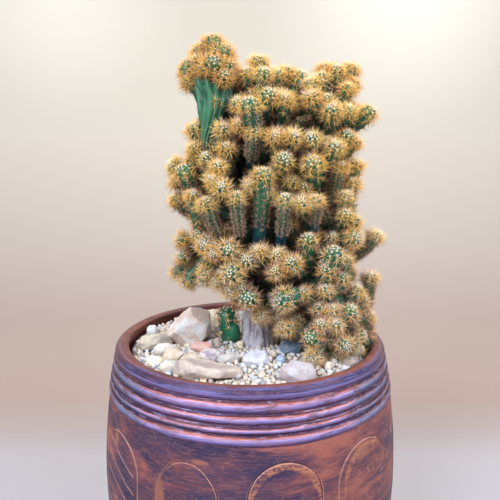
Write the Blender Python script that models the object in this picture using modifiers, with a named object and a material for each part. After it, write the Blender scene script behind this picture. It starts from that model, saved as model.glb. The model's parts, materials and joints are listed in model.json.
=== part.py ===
"""A monstrose column cactus in a turned clay pot, with stones and grit on the soil.

Units are metres, +Z is up, and the origin is at the centre of the pot's base.
The plant, its trunk, the pot, the soil, the grit and every stone are separate closed bodies.
"""
import math
import random

import bmesh
import bpy
from mathutils import Matrix, Vector

MM = 0.001
GOLDEN_ANGLE = math.radians(137.5)

# The pot: a barrel that is widest below its middle, with turned bands under the lip
RIM_Z = 152 * MM
RIM_R = 80 * MM
BELLY_Z = 74 * MM
BELLY_R = 89.6 * MM
WALL = 6.5 * MM
FLOOR = 9 * MM
FOOT_ROUND = 3 * MM
BAND_GROOVES = ((5.2, 6.8), (11.1, 12.9), (16.2, 18.3), (20.6, 22.2))
LAST_BAND_END = 26.3
GROOVE_DEEP = 1.0 * MM
BODY_RECESS = 0.5 * MM
BODY_HEIGHTS = (105 * MM, 80 * MM, 55 * MM, 30 * MM, 12 * MM)
LIP_ROUND = 1.5 * MM
POT_SIDES = 40

# What fills the pot
FIT_GAP = 0.35 * MM
SOIL_TOP = RIM_Z - 14 * MM
FLOOR_ROUND = 8 * MM
WALL_HEIGHTS = (20 * MM, 70 * MM, 120 * MM, SOIL_TOP)
GRIT_EDGE = RIM_Z - 6.5 * MM
GRIT_MOUND = 1.5 * MM
GRIT_BUMP = 1.1 * MM
GRIT_EDGE_GAP = 1.2 * MM
GRIT_RINGS = 8
GRIT_SIDES = 28

# The plant is laid out on an upright drawing board, seen from EYE along a line that dips by EYE_DIP.
# A place on the board is written as millimetres across and up from its middle.
# A head is then slid along its sight line to its depth behind (+) or before (-) the trunk.
EYE = Vector((0, -299.6, 252.1)) * MM
EYE_DIP = math.radians(9)
BOARD_DISTANCE = 300 * MM
MASS_MIDDLE = 12
MASS_HALF_WIDTH = 66
MASS_FRONT = -30

# Heads that show from the front: across, up, radius, extra depth (all mm)
FRONT_HEADS = (
    (-22, 124, 5.8, 22), (-29, 119, 5.2, 20), (-14, 118, 5.6, 18), (-23, 112, 5.8, 10),
    (-36, 108, 6.2, 14), (-38, 101, 4.6, 12), (-17, 105, 5.0, 10), (-10, 104, 4.4, 22),
    (-2, 105, 4.8, 20), (6, 113, 5.0, 26), (8, 105, 5.0, 14), (22, 105, 4.4, 26),
    (11, 92, 5.8, 8), (0, 86, 6.6, 0), (21, 90, 4.6, 6), (36, 99, 4.6, 18),
    (37, 91, 5.0, 6), (46, 109, 4.4, 26), (43, 103, 4.2, 20), (52, 105, 4.4, 20),
    (60, 105, 4.8, 24), (58, 96, 4.4, 14), (49, 83, 5.6, 2), (59, 83, 4.6, 8),
    (68, 80, 5.0, 4), (-6, 75, 4.2, 4), (-34, 69, 4.4, 12), (-33, 61, 4.4, 10),
    (-16, 72, 4.6, 6), (2, 71, 4.8, 4), (-14, 61, 4.6, 6), (15, 68, 4.4, 2),
    (26, 68, 4.4, 2), (37, 67, 4.4, 2), (58, 68, 5.0, 4), (51, 61, 5.4, 0),
    (-26, 55, 4.4, 6), (-19, 50, 4.4, 2), (-38, 45, 6.6, 4), (-22, 42, 4.4, 0),
    (-17, 37, 5.2, -2), (8, 44, 6.2, 0), (20, 54, 5.4, 0), (38, 51, 6.6, -2),
    (54, 49, 4.4, 4), (63, 50, 4.4, 8), (-34, 32, 4.6, 2), (-42, 30, 4.4, 10),
    (-26, 27, 5.6, -2), (-8, 31, 4.8, 0), (1, 39, 4.0, 2), (10, 35, 4.4, 2),
    (21, 30, 4.8, 0), (31, 28, 4.8, 0), (39, 29, 4.8, 2), (61, 39, 4.8, 6),
    (57, 32, 4.4, 4), (24, 17, 4.4, 12), (57, 21, 4.8, 4), (35, 6, 5.2, 4),
    (62, 7, 5.8, 2), (72, 9, 4.6, 2), (-38, 7, 4.0, 8), (-27, 3, 5.2, 2),
    (-22, -2, 4.4, 0), (-13, 0, 5.8, -2), (-2, -6, 4.8, 0), (5, -1, 4.4, 2),
    (16, -3, 4.4, 4), (-40, -4, 4.4, 8), (-43, -14, 4.4, 10), (-37, -19, 4.6, 8),
    (-26, -14, 4.8, 2), (-11, -14, 6.6, -4), (-5, -23, 4.2, 2), (16, -13, 5.2, 0),
    (25, -8, 5.6, -2), (50, -3, 6.6, -6), (46, -12, 4.8, -4), (57, -7, 4.8, 0),
    (54, -17, 4.8, -2), (45, -24, 4.8, -2), (63, -25, 4.8, 0), (72, -17, 4.4, 4),
    (-1, -29, 6.2, -2), (20, -30, 7.2, -6), (32, -26, 4.6, 0), (41, -35, 5.0, 0),
    (29, -42, 4.4, 6), (51, -45, 5.0, -9), (60, -37, 5.6, -10), (73, -40, 4.6, -3),
    (37, -53, 6.0, -9), (38, -65, 4.6, -13), (57, -57, 4.8, -15), (66, -51, 4.4, -7),
)

# Stout stems that carry the heads: places in mm (x, y, z) with the stem's radius
LIMBS = {
    "left": ((5, 0, 176, 9), (-7, 0, 204, 14), (-14, 2, 236, 15), (-18, 4, 262, 11), (-20, 5, 280, 7)),
    "crest": ((-22, -4, 258, 5), (-23, -8, 284, 6), (-22, -6, 303, 9)),
    "middle": ((6, 0, 176, 10), (9, 2, 208, 18), (12, 3, 244, 19), (15, 4, 276, 14), (15, 4, 294, 8)),
    "middle left": ((10, 0, 254, 10), (2, 0, 284, 9), (3, 3, 301, 6)),
    "right": ((9, 0, 178, 10), (28, 0, 206, 17), (39, 2, 236, 18), (46, 3, 270, 14), (49, 2, 296, 7)),
    "low right": ((12, -4, 190, 10), (34, -11, 190, 15), (47, -18, 178, 12)),
    "far right": ((28, -2, 196, 12), (47, -4, 212, 14), (55, -4, 232, 9)),
    "low left": ((2, 0, 192, 10), (-16, -2, 206, 13), (-28, -2, 210, 9)),
    "back left": ((4, 3, 186, 9), (0, 9, 220, 15), (3, 11, 256, 14), (6, 9, 284, 8)),
    "back right": ((12, 4, 188, 9), (26, 10, 224, 15), (31, 11, 262, 14), (33, 9, 286, 8)),
}
LIMB_SIDES = 8

# The crested stem: a bare pleated fan, (height z, across x, depth y, half width, half thickness) in mm
FAN_SECTIONS = (
    (246, -23, -8, 3.2, 3.5), (266, -24, -11, 3.4, 3.8), (283, -23, -12, 5.6, 4.5), (292, -22, -11, 9, 5),
    (301, -21, -10, 12.5, 5)
)
FAN_PLEATS = 5
FAN_VALLEY = 0.72

# Heads on the sides and the back follow a rule: lowest and highest place, and half the turn they cover
BACK_HEADS = 64
BACK_TRIES = 6000
BACK_LOW = 186
BACK_HIGH = 304
BACK_TURN = 112
BACK_DEPTH = 35 * MM
BACK_RADII = (5.0, 7.2)
HEAD_SPACING = 12 * MM

# The plant's outline as those heads see it: its middle and half width, and how they change with height
OUTLINE_LOW = 188
OUTLINE_TALL = 112
OUTLINE_MIDDLE = (12, 4)
OUTLINE_HALF = (58, 12)

# Heads on the crown spread over an oval that falls off to its edge
CROWN_HEADS = 16
CROWN_TRIES = 3000
CROWN_MIDDLE = (16, 4, 297)
CROWN_HALF = (48, 24)
CROWN_FALL = 9
CROWN_RADII = (4.8, 6.4)

# The shape of a head: (place along its axis, half width, rib valley), as shares of its radius
HEAD_PLUMP = 1.3
HEAD_CLIMB = 13 * MM
HEAD_RIB_SIDES = 10
SMALL_HEAD_SIDES = 8
SMALL_HEAD = 4.7 * MM
RIB_VALLEY = 0.74
HEAD_STEM = 0.55
HEAD_TOP = 1.05
HEAD_OUTLINE = ((-1.0, 0.62, 1.0), (-0.15, 1.02, RIB_VALLEY), (0.72, 0.66, RIB_VALLEY))
LIMB_STEPS = 6

# The fused flesh is drawn as one skin of small cells and thinned
SKIN_VOXEL = 1.2 * MM
FLESH_TRIANGLES = 6850

# Needles: one leans a little off the tip, the others lean between two angles in degrees
NEEDLES_PER_HEAD = 4
NEEDLE_OUT = 6.5 * MM
NEEDLE_SUNK = 1.8 * MM
NEEDLE_BASE = 0.5 * MM
NEEDLE_CLEAR = 1.5 * MM
NEEDLE_FOOT = 0.86
NEEDLE_SHY = 1.4
TIP_LEAN = 0.25
RING_LEANS = (48, 82)
RING_JITTER = 0.25

# The trunk: (z, x, y, radius) in mm, from the root end up
TRUNK_SECTIONS = (
    (122, 6, 2, 5), (136, 6.5, 1, 9.5), (145, 7, 0, 13), (153, 6.5, 0, 11.5), (168, 6, 0, 11), (180, 6, 0, 12)
)
TRUNK_SIDES = 12
TRUNK_FLUTE = 0.09
TRUNK_SWELL = 0.5 * MM

# The offset beside the trunk: foot (x, y, z) and tip in mm, with its radius
OFFSET_FOOT = (-11, 4, 141)
OFFSET_HEAD = (-13.5, 3, 158)
OFFSET_R = 7.0
OFFSET_NEEDLES = 12
OFFSET_NEEDLE_FOOT = 0.8
OFFSET_NEEDLE_LEANS = (15, 75)
OFFSET_TRUNK_SIDE = 0.5

# Stones: x, y, lift of the middle above the grit, half length, half width, half height (mm), turn (degrees)
STONES = {
    "boulder_cream": (-38, 3, 7, 15.5, 12.5, 13, 15),
    "stone_cream_back": (-24, 31, 4, 10, 7, 8, -10),
    "rock_long_veined": (-22, -50, 2, 20, 8.5, 5.5, -8),
    "block_white": (25, -55, 3, 11, 7, 6.5, -10),
    "cobble_bluewhite": (3, -34, 2, 9, 6.5, 5, 5),
    "slate_by_trunk": (25, -17, 3, 8, 6, 5.5, 20),
    "slab_left": (-59, -8, 2, 10, 6, 4, 35),
    "pebble_white_rim": (-63, 13, 3, 4, 3.6, 3.6, 0),
    "pebble_white_small": (-56, 8, 2, 2.8, 2.5, 2.5, 0),
    "wedge_white": (-50, -20, 2, 6.5, 3.4, 3.2, 30),
    "pebble_cream": (-43.5, -31, 2, 5.5, 4.8, 4.2, 20),
    "pebble_yellow": (-53, -34, 1, 5, 3.8, 3.2, 15),
    "pebble_white_front": (-43, -44, 1.5, 5, 3.6, 3.4, 10),
    "stone_pink": (-28.5, -18, 2, 6, 3.4, 3, 8),
    "wedge_tan": (-33, -35, 1.5, 5.6, 3.6, 3.2, 20),
    "stone_lilac": (-22, -31, 2, 6.4, 4.6, 4, 4),
    "stone_grey_long": (-12, -34, 1.5, 6, 3.4, 3, 25),
    "pebble_blue": (17, -34, 1.5, 3.2, 2.8, 2.6, 0),
    "pebble_pink": (13, -26, 1.5, 2.8, 2.8, 3, 0),
    "rock_cream_right": (61, -22, 3, 6, 5, 5.5, 30),
    "rubble_right": (56, -36, 1.5, 5, 4, 3.6, -30),
    "pebble_upright": (-19.5, -11, 2.5, 2.6, 2.6, 4, 0),
    "stone_back_left": (-28, 52, 2, 9, 6, 5, 30),
    "stone_back_right": (34, 44, 3, 10, 7, 6, -25),
}
STONE_POINTS = 18
STONE_SQUARENESS = 3
STONE_DENTS = (0.82, 1.0)
STONE_SWELL = 0.8 * MM

for old in list(bpy.data.objects):
    bpy.data.objects.remove(old)
scene_root = bpy.context.scene.collection
part_collection = bpy.data.collections.new("potted_monstrose_cactus")
tool_collection = bpy.data.collections.new("working_shapes")
scene_root.children.link(part_collection)
scene_root.children.link(tool_collection)


def material(name, colour, roughness, metallic=0.0):
    """A plain finish with one colour."""
    made = bpy.data.materials.new(name)
    made.use_nodes = True
    shader = made.node_tree.nodes["Principled BSDF"]
    shader.inputs["Base Color"].default_value = (*colour, 1)
    shader.inputs["Roughness"].default_value = roughness
    shader.inputs["Metallic"].default_value = metallic
    return made


CLAY = material("patinated_clay", (0.20, 0.10, 0.10), 0.45, 0.2)
SOIL = material("soil", (0.05, 0.035, 0.025), 0.95)
GRIT = material("pale_grit", (0.70, 0.66, 0.58), 0.85)
STONE = material("cream_stone", (0.68, 0.58, 0.50), 0.8)
CORK = material("corky_bark", (0.33, 0.27, 0.23), 0.9)
FLESH = material("spiny_green_flesh", (0.30, 0.30, 0.10), 0.6)
OFFSET = material("offset_green_flesh", (0.04, 0.26, 0.14), 0.5)


def new_object(name, mesh, finish, collection):
    """Puts a mesh in the scene as a named object."""
    made = bpy.data.objects.new(name, mesh)
    mesh.materials.clear()
    mesh.materials.append(finish)
    collection.objects.link(made)
    return made


def mesh_from(shape, name):
    """Turns a bmesh into a mesh and frees it."""
    bmesh.ops.recalc_face_normals(shape, faces=shape.faces)
    mesh = bpy.data.meshes.new(name)
    shape.to_mesh(mesh)
    shape.free()
    return mesh


def evaluated_mesh(source):
    """The mesh of an object with its modifiers applied."""
    graph = bpy.context.evaluated_depsgraph_get()
    graph.update()
    return bpy.data.meshes.new_from_object(source.evaluated_get(graph))


def loft(rings):
    """Joins rings of points, all with the same count, into one closed body."""
    shape = bmesh.new()
    rows = [[shape.verts.new(point) for point in ring] for ring in rings]
    count = len(rows[0])
    for low, high in zip(rows, rows[1:]):
        for i in range(count):
            j = (i + 1) % count
            shape.faces.new((low[i], low[j], high[j], high[i]))
    shape.faces.new(list(reversed(rows[0])))
    shape.faces.new(rows[-1])
    return shape


def turned(name, profile, sides, finish):
    """Turns a profile of (radius, height) round the upright axis."""
    mesh = bpy.data.meshes.new(name)
    points = [(radius, 0, height) for radius, height in profile]
    edges = [(i, i + 1) for i in range(len(points) - 1)]
    mesh.from_pydata(points, edges, [])
    made = new_object(name, mesh, finish, part_collection)
    screw = made.modifiers.new("turn", "SCREW")
    screw.steps = sides
    screw.render_steps = sides
    screw.use_merge_vertices = True
    screw.merge_threshold = 0.00005
    return made


def boolean(target, operation, operand):
    """Joins or cuts a body with another, or with a whole collection, and keeps the result."""
    step = target.modifiers.new("step", "BOOLEAN")
    step.operation = operation
    step.solver = "MANIFOLD"
    if isinstance(operand, bpy.types.Collection):
        step.operand_type = "COLLECTION"
        step.collection = operand
    else:
        step.object = operand
    result = evaluated_mesh(target)
    target.modifiers.clear()
    target.data = result


def keep_main_body(target):
    """Drops loose scraps and fills sealed hollows by keeping the body with the most faces."""
    shape = bmesh.new()
    shape.from_mesh(target.data)
    waiting = set(shape.verts)
    bodies = []
    while waiting:
        seed = waiting.pop()
        body = {seed}
        edge = [seed]
        while edge:
            here = edge.pop()
            for link in here.link_edges:
                other = link.other_vert(here)
                if other in waiting:
                    waiting.discard(other)
                    body.add(other)
                    edge.append(other)
        bodies.append(body)
    bodies.sort(key=len, reverse=True)
    for body in bodies[1:]:
        bmesh.ops.delete(shape, geom=list(body), context="VERTS")
    shape.to_mesh(target.data)
    shape.free()


def fattened(source, amount):
    """A copy of a body that is a little bigger all round, used to cut its seat."""
    copy = source.copy()
    copy.data = source.data.copy()
    tool_collection.objects.link(copy)
    swell = copy.modifiers.new("swell", "DISPLACE")
    swell.strength = amount
    swell.mid_level = 0
    mesh = evaluated_mesh(copy)
    copy.modifiers.clear()
    copy.data = mesh
    copy.hide_render = True
    copy.display_type = "WIRE"
    return copy


def barrel_radius(z):
    """Radius of the pot's outside, which is widest at its belly."""
    return BELLY_R - (BELLY_R - RIM_R) * ((z - BELLY_Z) / (RIM_Z - BELLY_Z)) ** 2


def inner_radius(z):
    """Radius of the pot's inside."""
    return barrel_radius(z) - WALL


def make_pot():
    """Lip, four grooves that leave raised bands, a plain belly and a flat base."""
    profile = [(0, FLOOR), (inner_radius(FLOOR) - FLOOR_ROUND, FLOOR)]
    profile += [(inner_radius(z), z) for z in WALL_HEIGHTS]
    profile += [(RIM_R - WALL, RIM_Z - LIP_ROUND * 4 / 3), (RIM_R - WALL * 0.65, RIM_Z)]
    profile += [(RIM_R - WALL * 0.2, RIM_Z), (RIM_R, RIM_Z - LIP_ROUND)]
    for upper, lower in BAND_GROOVES:
        for depth, deep in ((upper, 0), ((upper + lower) / 2, GROOVE_DEEP), (lower, 0)):
            z = RIM_Z - depth * MM
            profile.append((barrel_radius(z) - deep, z))
    for depth, deep in ((LAST_BAND_END, 0), (LAST_BAND_END + 1, GROOVE_DEEP)):
        z = RIM_Z - depth * MM
        profile.append((barrel_radius(z) - deep, z))
    profile += [(barrel_radius(z) - BODY_RECESS, z) for z in BODY_HEIGHTS]
    foot = barrel_radius(0) - FOOT_ROUND
    profile += [(foot + FOOT_ROUND * 0.6, FOOT_ROUND), (foot, 0), (0, 0)]
    return turned("pot", profile, POT_SIDES, CLAY)


def make_soil():
    """Fills the pot up to the grit."""
    bottom = FLOOR + FIT_GAP
    profile = [(0, SOIL_TOP)] + [(inner_radius(z) - FIT_GAP, z) for z in reversed(WALL_HEIGHTS)]
    profile += [(inner_radius(FLOOR) - FLOOR_ROUND - FIT_GAP, bottom), (0, bottom)]
    soil = turned("potting_soil", profile, POT_SIDES, SOIL)
    soil.data = evaluated_mesh(soil)
    soil.modifiers.clear()
    return soil


def grit_height(x, y):
    """Mean height of the grit, a low mound."""
    out = math.hypot(x, y) / inner_radius(GRIT_EDGE)
    return GRIT_EDGE + GRIT_MOUND * (1 - out * out)


def make_grit():
    """A thin round bed with a bumpy top."""
    dice = random.Random(11)
    edge_r = inner_radius(RIM_Z) - GRIT_EDGE_GAP
    shape = bmesh.new()
    bmesh.ops.create_circle(shape, cap_ends=True, cap_tris=True, segments=GRIT_SIDES, radius=edge_r)
    spokes = [edge for edge in shape.edges if not edge.is_boundary]
    bmesh.ops.subdivide_edges(shape, edges=spokes, cuts=GRIT_RINGS - 1, use_grid_fill=True)
    base = bmesh.ops.extrude_face_region(shape, geom=shape.faces[:])
    lower = [item for item in base["geom"] if isinstance(item, bmesh.types.BMVert)]
    lower_set = set(lower)
    for vert in shape.verts:
        if vert in lower_set:
            vert.co.z = SOIL_TOP + FIT_GAP
            continue
        bump = dice.uniform(-GRIT_BUMP, GRIT_BUMP)
        vert.co.z = grit_height(vert.co.x, vert.co.y) + bump
    flat = [face for face in shape.faces if all(vert in lower_set for vert in face.verts)]
    bmesh.ops.dissolve_faces(shape, faces=flat)
    return new_object("gravel_bed", mesh_from(shape, "gravel_bed"), GRIT, part_collection)


def make_stone(name, place):
    """A stone is the hull of points scattered on a box-like egg."""
    x, y, lift, length, width, height, turn = place
    dice = random.Random(name)
    shape = bmesh.new()
    for i in range(STONE_POINTS):
        up = 1 - 2 * (i + 0.5) / STONE_POINTS
        angle = i * GOLDEN_ANGLE + dice.uniform(-0.5, 0.5)
        side = math.sqrt(1 - up * up)
        way = Vector((side * math.cos(angle), side * math.sin(angle), up))
        boxy = way / (sum(abs(share) ** STONE_SQUARENESS for share in way) ** (1 / STONE_SQUARENESS))
        boxy = boxy * dice.uniform(*STONE_DENTS)
        shape.verts.new((boxy.x * length, boxy.y * width, boxy.z * height))
    hull = bmesh.ops.convex_hull(shape, input=shape.verts[:])
    inside = [item for item in hull["geom_interior"] if isinstance(item, bmesh.types.BMVert)]
    bmesh.ops.delete(shape, geom=inside, context="VERTS")
    centre = Vector((x * MM, y * MM, grit_height(x * MM, y * MM) + lift * MM))
    turned_small = Matrix.Rotation(math.radians(turn), 4, "Z") @ Matrix.Scale(MM, 4)
    bmesh.ops.transform(shape, matrix=Matrix.Translation(centre) @ turned_small, verts=shape.verts)
    return new_object(name, mesh_from(shape, name), STONE, part_collection)


def make_trunk():
    """A fluted, corky column that narrows to its root end in the soil."""
    rings = []
    for z, x, y, radius in TRUNK_SECTIONS:
        ring = []
        for i in range(TRUNK_SIDES):
            angle = 2 * math.pi * i / TRUNK_SIDES
            reach = radius * (1 + TRUNK_FLUTE * (1 if i % 2 else -1))
            ring.append(Vector((x + reach * math.cos(angle), y + reach * math.sin(angle), z)) * MM)
        rings.append(ring)
    return new_object("corky_trunk", mesh_from(loft(rings), "corky_trunk"), CORK, part_collection)


def slid_to_depth(across, up, depth):
    """The point seen at a place on the drawing board, moved along its sight line to a depth."""
    ahead = Vector((0, math.cos(EYE_DIP), -math.sin(EYE_DIP)))
    above = Vector((0, math.sin(EYE_DIP), math.cos(EYE_DIP)))
    line = ahead * BOARD_DISTANCE + Vector((1, 0, 0)) * across * MM + above * up * MM
    return EYE + line * ((depth - EYE.y) / line.y)


def front_heads():
    """Places and radii of the heads that show from the front."""
    heads = []
    for across, up, radius, extra in FRONT_HEADS:
        round_off = math.sqrt(max(0.0, 1 - ((across - MASS_MIDDLE) / MASS_HALF_WIDTH) ** 2))
        depth = (MASS_FRONT * round_off + extra) * MM
        centre = slid_to_depth(across, up, depth)
        nearness = (depth - EYE.y) / -EYE.y
        heads.append((centre, radius * MM * nearness * HEAD_PLUMP))
    return heads


def mass_outline(z):
    """Middle and half width of the plant at a height, on the sides that do not face the eye."""
    rise = (z - OUTLINE_LOW) / OUTLINE_TALL
    middle = OUTLINE_MIDDLE[0] + OUTLINE_MIDDLE[1] * rise
    half = OUTLINE_HALF[0] - OUTLINE_HALF[1] * rise * rise
    return middle * MM, half * MM


def clear_of_heads(centre, heads):
    """True where a new head's middle keeps its distance from all the others."""
    return all((centre - other).length > HEAD_SPACING for other, _ in heads)


def back_heads(taken):
    """Heads set by a rule over the sides and the back, each clear of its neighbours."""
    dice = random.Random(5)
    made = []
    for _ in range(BACK_TRIES):
        if len(made) == BACK_HEADS:
            break
        z = dice.uniform(BACK_LOW, BACK_HIGH)
        turn = math.radians(dice.uniform(-BACK_TURN, BACK_TURN))
        middle, half = mass_outline(z)
        rise = (z - BACK_LOW) / (BACK_HIGH - BACK_LOW)
        deep = BACK_DEPTH * (0.82 + 0.3 * math.sin(math.pi * rise)) * (1 - 0.35 * rise ** 3)
        centre = Vector((middle + half * math.sin(turn), deep * math.cos(turn), z * MM))
        radius = dice.uniform(*BACK_RADII) * MM
        if clear_of_heads(centre, taken + made):
            made.append((centre, radius))
    return made


def crown_heads(taken):
    """Heads set by a rule over the top, which the front row half hides."""
    dice = random.Random(8)
    made = []
    for _ in range(CROWN_TRIES):
        if len(made) == CROWN_HEADS:
            break
        spread = math.sqrt(dice.random())
        turn = dice.uniform(0, 2 * math.pi)
        x = CROWN_MIDDLE[0] + CROWN_HALF[0] * spread * math.sin(turn)
        y = CROWN_MIDDLE[1] + CROWN_HALF[1] * spread * math.cos(turn)
        centre = Vector((x, y, CROWN_MIDDLE[2] - CROWN_FALL * spread * spread)) * MM
        radius = dice.uniform(*CROWN_RADII) * MM
        if clear_of_heads(centre, taken + made):
            made.append((centre, radius))
    return made


def limb_points():
    """Points along every stout stem with their radii."""
    points = []
    for route in LIMBS.values():
        for a, b in zip(route, route[1:]):
            for k in range(LIMB_STEPS):
                t = k / LIMB_STEPS
                mix = [p + (q - p) * t for p, q in zip(a, b)]
                points.append((Vector(mix[:3]) * MM, mix[3] * MM))
        points.append((Vector(route[-1][:3]) * MM, route[-1][3] * MM))
    return points


def frame_along(axis):
    """Two directions square to an axis."""
    side = axis.orthogonal().normalized()
    return side, axis.cross(side)


def make_limb(route):
    """A stout stem as a loft through its sections."""
    rings = []
    places = [Vector(point[:3]) * MM for point in route]
    for i, place in enumerate(places):
        ahead = places[min(i + 1, len(places) - 1)] - places[max(i - 1, 0)]
        side, other = frame_along(ahead.normalized())
        radius = route[i][3] * MM
        ring = []
        for k in range(LIMB_SIDES):
            angle = 2 * math.pi * k / LIMB_SIDES
            ring.append(place + (side * math.cos(angle) + other * math.sin(angle)) * radius)
        rings.append(ring)
    return loft(rings)


def make_head(root, centre, radius, sides):
    """A club: a thin stem from its root that swells into a ribbed, domed head."""
    axis = (centre - root).normalized()
    side, other = frame_along(axis)
    rings = []
    stations = [(root, radius * HEAD_STEM, 1.0)]
    for along, wide, valley in HEAD_OUTLINE:
        stations.append((centre + axis * radius * along, radius * wide, valley))
    for place, wide, valley in stations:
        ring = []
        for k in range(sides):
            angle = 2 * math.pi * k / sides
            reach = wide * (1 if k % 2 == 0 else valley)
            ring.append(place + (side * math.cos(angle) + other * math.sin(angle)) * reach)
        rings.append(ring)
    shape = loft(rings)
    shape.faces.ensure_lookup_table()
    crown = bmesh.ops.poke(shape, faces=[shape.faces[-1]])
    crown["verts"][0].co = centre + axis * radius * HEAD_TOP
    return shape


def make_fan():
    """The bare pleated stem that spreads up to the crest."""
    rings = []
    count = FAN_PLEATS * 4
    for z, x, y, half_width, half_thick in FAN_SECTIONS:
        ring = []
        for k in range(count):
            angle = 2 * math.pi * k / count
            thick = half_thick * (1 if k % 2 == 0 else FAN_VALLEY)
            ring.append(Vector((x + half_width * math.cos(angle), y + thick * math.sin(angle), z)) * MM)
        rings.append(ring)
    return loft(rings)


def needle(root, way):
    """A three-sided needle whose foot is sunk in the flesh."""
    length = NEEDLE_OUT + NEEDLE_SUNK
    turn = way.to_track_quat("Z", "Y").to_matrix().to_4x4()
    middle = root + way * (length / 2 - NEEDLE_SUNK)
    shape = bmesh.new()
    bmesh.ops.create_cone(
        shape, cap_ends=True, cap_tris=True, segments=3, radius1=NEEDLE_BASE, radius2=0, depth=length,
        matrix=Matrix.Translation(middle) @ turn,
    )
    return shape


def needle_ways(axis, dice):
    """Directions of a head's needles: one near its tip and the rest in a ring round it."""
    side, other = frame_along(axis)
    spin = dice.uniform(0, 2 * math.pi)
    ways = [(axis + (side * math.cos(spin) + other * math.sin(spin)) * TIP_LEAN).normalized()]
    for k in range(NEEDLES_PER_HEAD - 1):
        angle = spin + 2 * math.pi * k / (NEEDLES_PER_HEAD - 1) + dice.uniform(-RING_JITTER, RING_JITTER)
        lean = math.radians(dice.uniform(*RING_LEANS))
        ring = side * math.cos(angle) + other * math.sin(angle)
        ways.append((axis * math.cos(lean) + ring * math.sin(lean)).normalized())
    return ways


def stem_root(centre, limbs):
    """The place on a stout stem from which a head's own stem rises."""
    lowered = centre - Vector((0, 0, HEAD_CLIMB))
    place, reach = min(limbs, key=lambda item: (item[0] - lowered).length - item[1] * 0.6)
    return place


def clear_of_bed(point):
    """True where a needle's point keeps off the grit, the lip and the stones."""
    out = math.hypot(point.x, point.y)
    floor = RIM_Z if out > inner_radius(RIM_Z) - 5 * MM else GRIT_EDGE + GRIT_MOUND + GRIT_BUMP
    if point.z < floor + NEEDLE_CLEAR:
        return False
    for x, y, lift, length, *_ in STONES.values():
        stone = Vector((x, y, 0)) * MM
        stone.z = grit_height(stone.x, stone.y) + lift * MM
        if (point - stone).length < length * MM + NEEDLE_CLEAR:
            return False
    return True


def join_repeats(start, repeats):
    """Fuses a collection's bodies into the starting one and removes them."""
    boolean(start, "UNION", repeats)
    for used in list(repeats.objects):
        bpy.data.objects.remove(used)


def simplify(target, triangles):
    """Draws one even skin over a fused body, then thins it to a number of triangles."""
    skin = target.modifiers.new("skin", "REMESH")
    skin.mode = "VOXEL"
    skin.voxel_size = SKIN_VOXEL
    target.data = evaluated_mesh(target)
    target.modifiers.clear()
    count = sum(len(face.vertices) - 2 for face in target.data.polygons)
    thin = target.modifiers.new("thin", "DECIMATE")
    thin.ratio = triangles / count
    thin.use_collapse_triangulate = True
    target.data = evaluated_mesh(target)
    target.modifiers.clear()


def make_branches():
    """Every stem, the fan, every head and every needle, fused into one body."""
    heads = front_heads()
    heads += back_heads(heads)
    heads += crown_heads(heads)
    limbs = limb_points()
    repeats = bpy.data.collections.new("branch_repeats")
    scene_root.children.link(repeats)
    dice = random.Random(3)
    middle_limb = mesh_from(make_limb(LIMBS["middle"]), "middle")
    start = new_object("cactus_branches", middle_limb, FLESH, part_collection)
    for name, route in LIMBS.items():
        if name != "middle":
            new_object("limb", mesh_from(make_limb(route), name), FLESH, repeats)
    new_object("fan", mesh_from(make_fan(), "fan"), FLESH, repeats)
    roots = [stem_root(centre, limbs) for centre, radius in heads]
    for root, (centre, radius) in zip(roots, heads):
        sides = SMALL_HEAD_SIDES if radius < SMALL_HEAD else HEAD_RIB_SIDES
        new_object("head", mesh_from(make_head(root, centre, radius, sides), "head"), FLESH, repeats)
    join_repeats(start, repeats)
    keep_main_body(start)
    simplify(start, FLESH_TRIANGLES)
    needles = 0
    for root, (centre, radius) in zip(roots, heads):
        axis = (centre - root).normalized()
        neighbours = [head for head in heads if head[0] is not centre]
        for way in needle_ways(axis, dice):
            tip = centre + way * (radius + NEEDLE_OUT)
            buried = any((tip - other).length < size * NEEDLE_SHY for other, size in neighbours)
            if buried or not clear_of_bed(tip) or not clear_of_bed((tip + centre) / 2):
                continue
            foot = centre + way * radius * NEEDLE_FOOT
            new_object("needle", mesh_from(needle(foot, way), "needle"), FLESH, repeats)
            needles += 1
    join_repeats(start, repeats)
    bpy.data.collections.remove(repeats)
    print("heads", len(heads), "needles", needles)
    return start


def make_offset():
    """The small offset: one ribbed head on a smooth foot, with its own needles."""
    foot = Vector(OFFSET_FOOT) * MM
    centre = Vector(OFFSET_HEAD) * MM
    radius = OFFSET_R * MM
    axis = (centre - foot).normalized()
    side, other = frame_along(axis)
    head = mesh_from(make_head(foot, centre, radius, HEAD_RIB_SIDES), "offset")
    made = new_object("basal_offset", head, OFFSET, part_collection)
    repeats = bpy.data.collections.new("offset_repeats")
    scene_root.children.link(repeats)
    least_lean, more_lean = OFFSET_NEEDLE_LEANS
    for k in range(OFFSET_NEEDLES):
        angle = k * GOLDEN_ANGLE
        lean = math.radians(least_lean + more_lean * k / OFFSET_NEEDLES)
        way = axis * math.cos(lean) + (side * math.cos(angle) + other * math.sin(angle)) * math.sin(lean)
        if way.x < OFFSET_TRUNK_SIDE:
            place = centre + way * radius * OFFSET_NEEDLE_FOOT
            new_object("needle", mesh_from(needle(place, way), "needle"), OFFSET, repeats)
    join_repeats(made, repeats)
    bpy.data.collections.remove(repeats)
    return made


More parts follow.
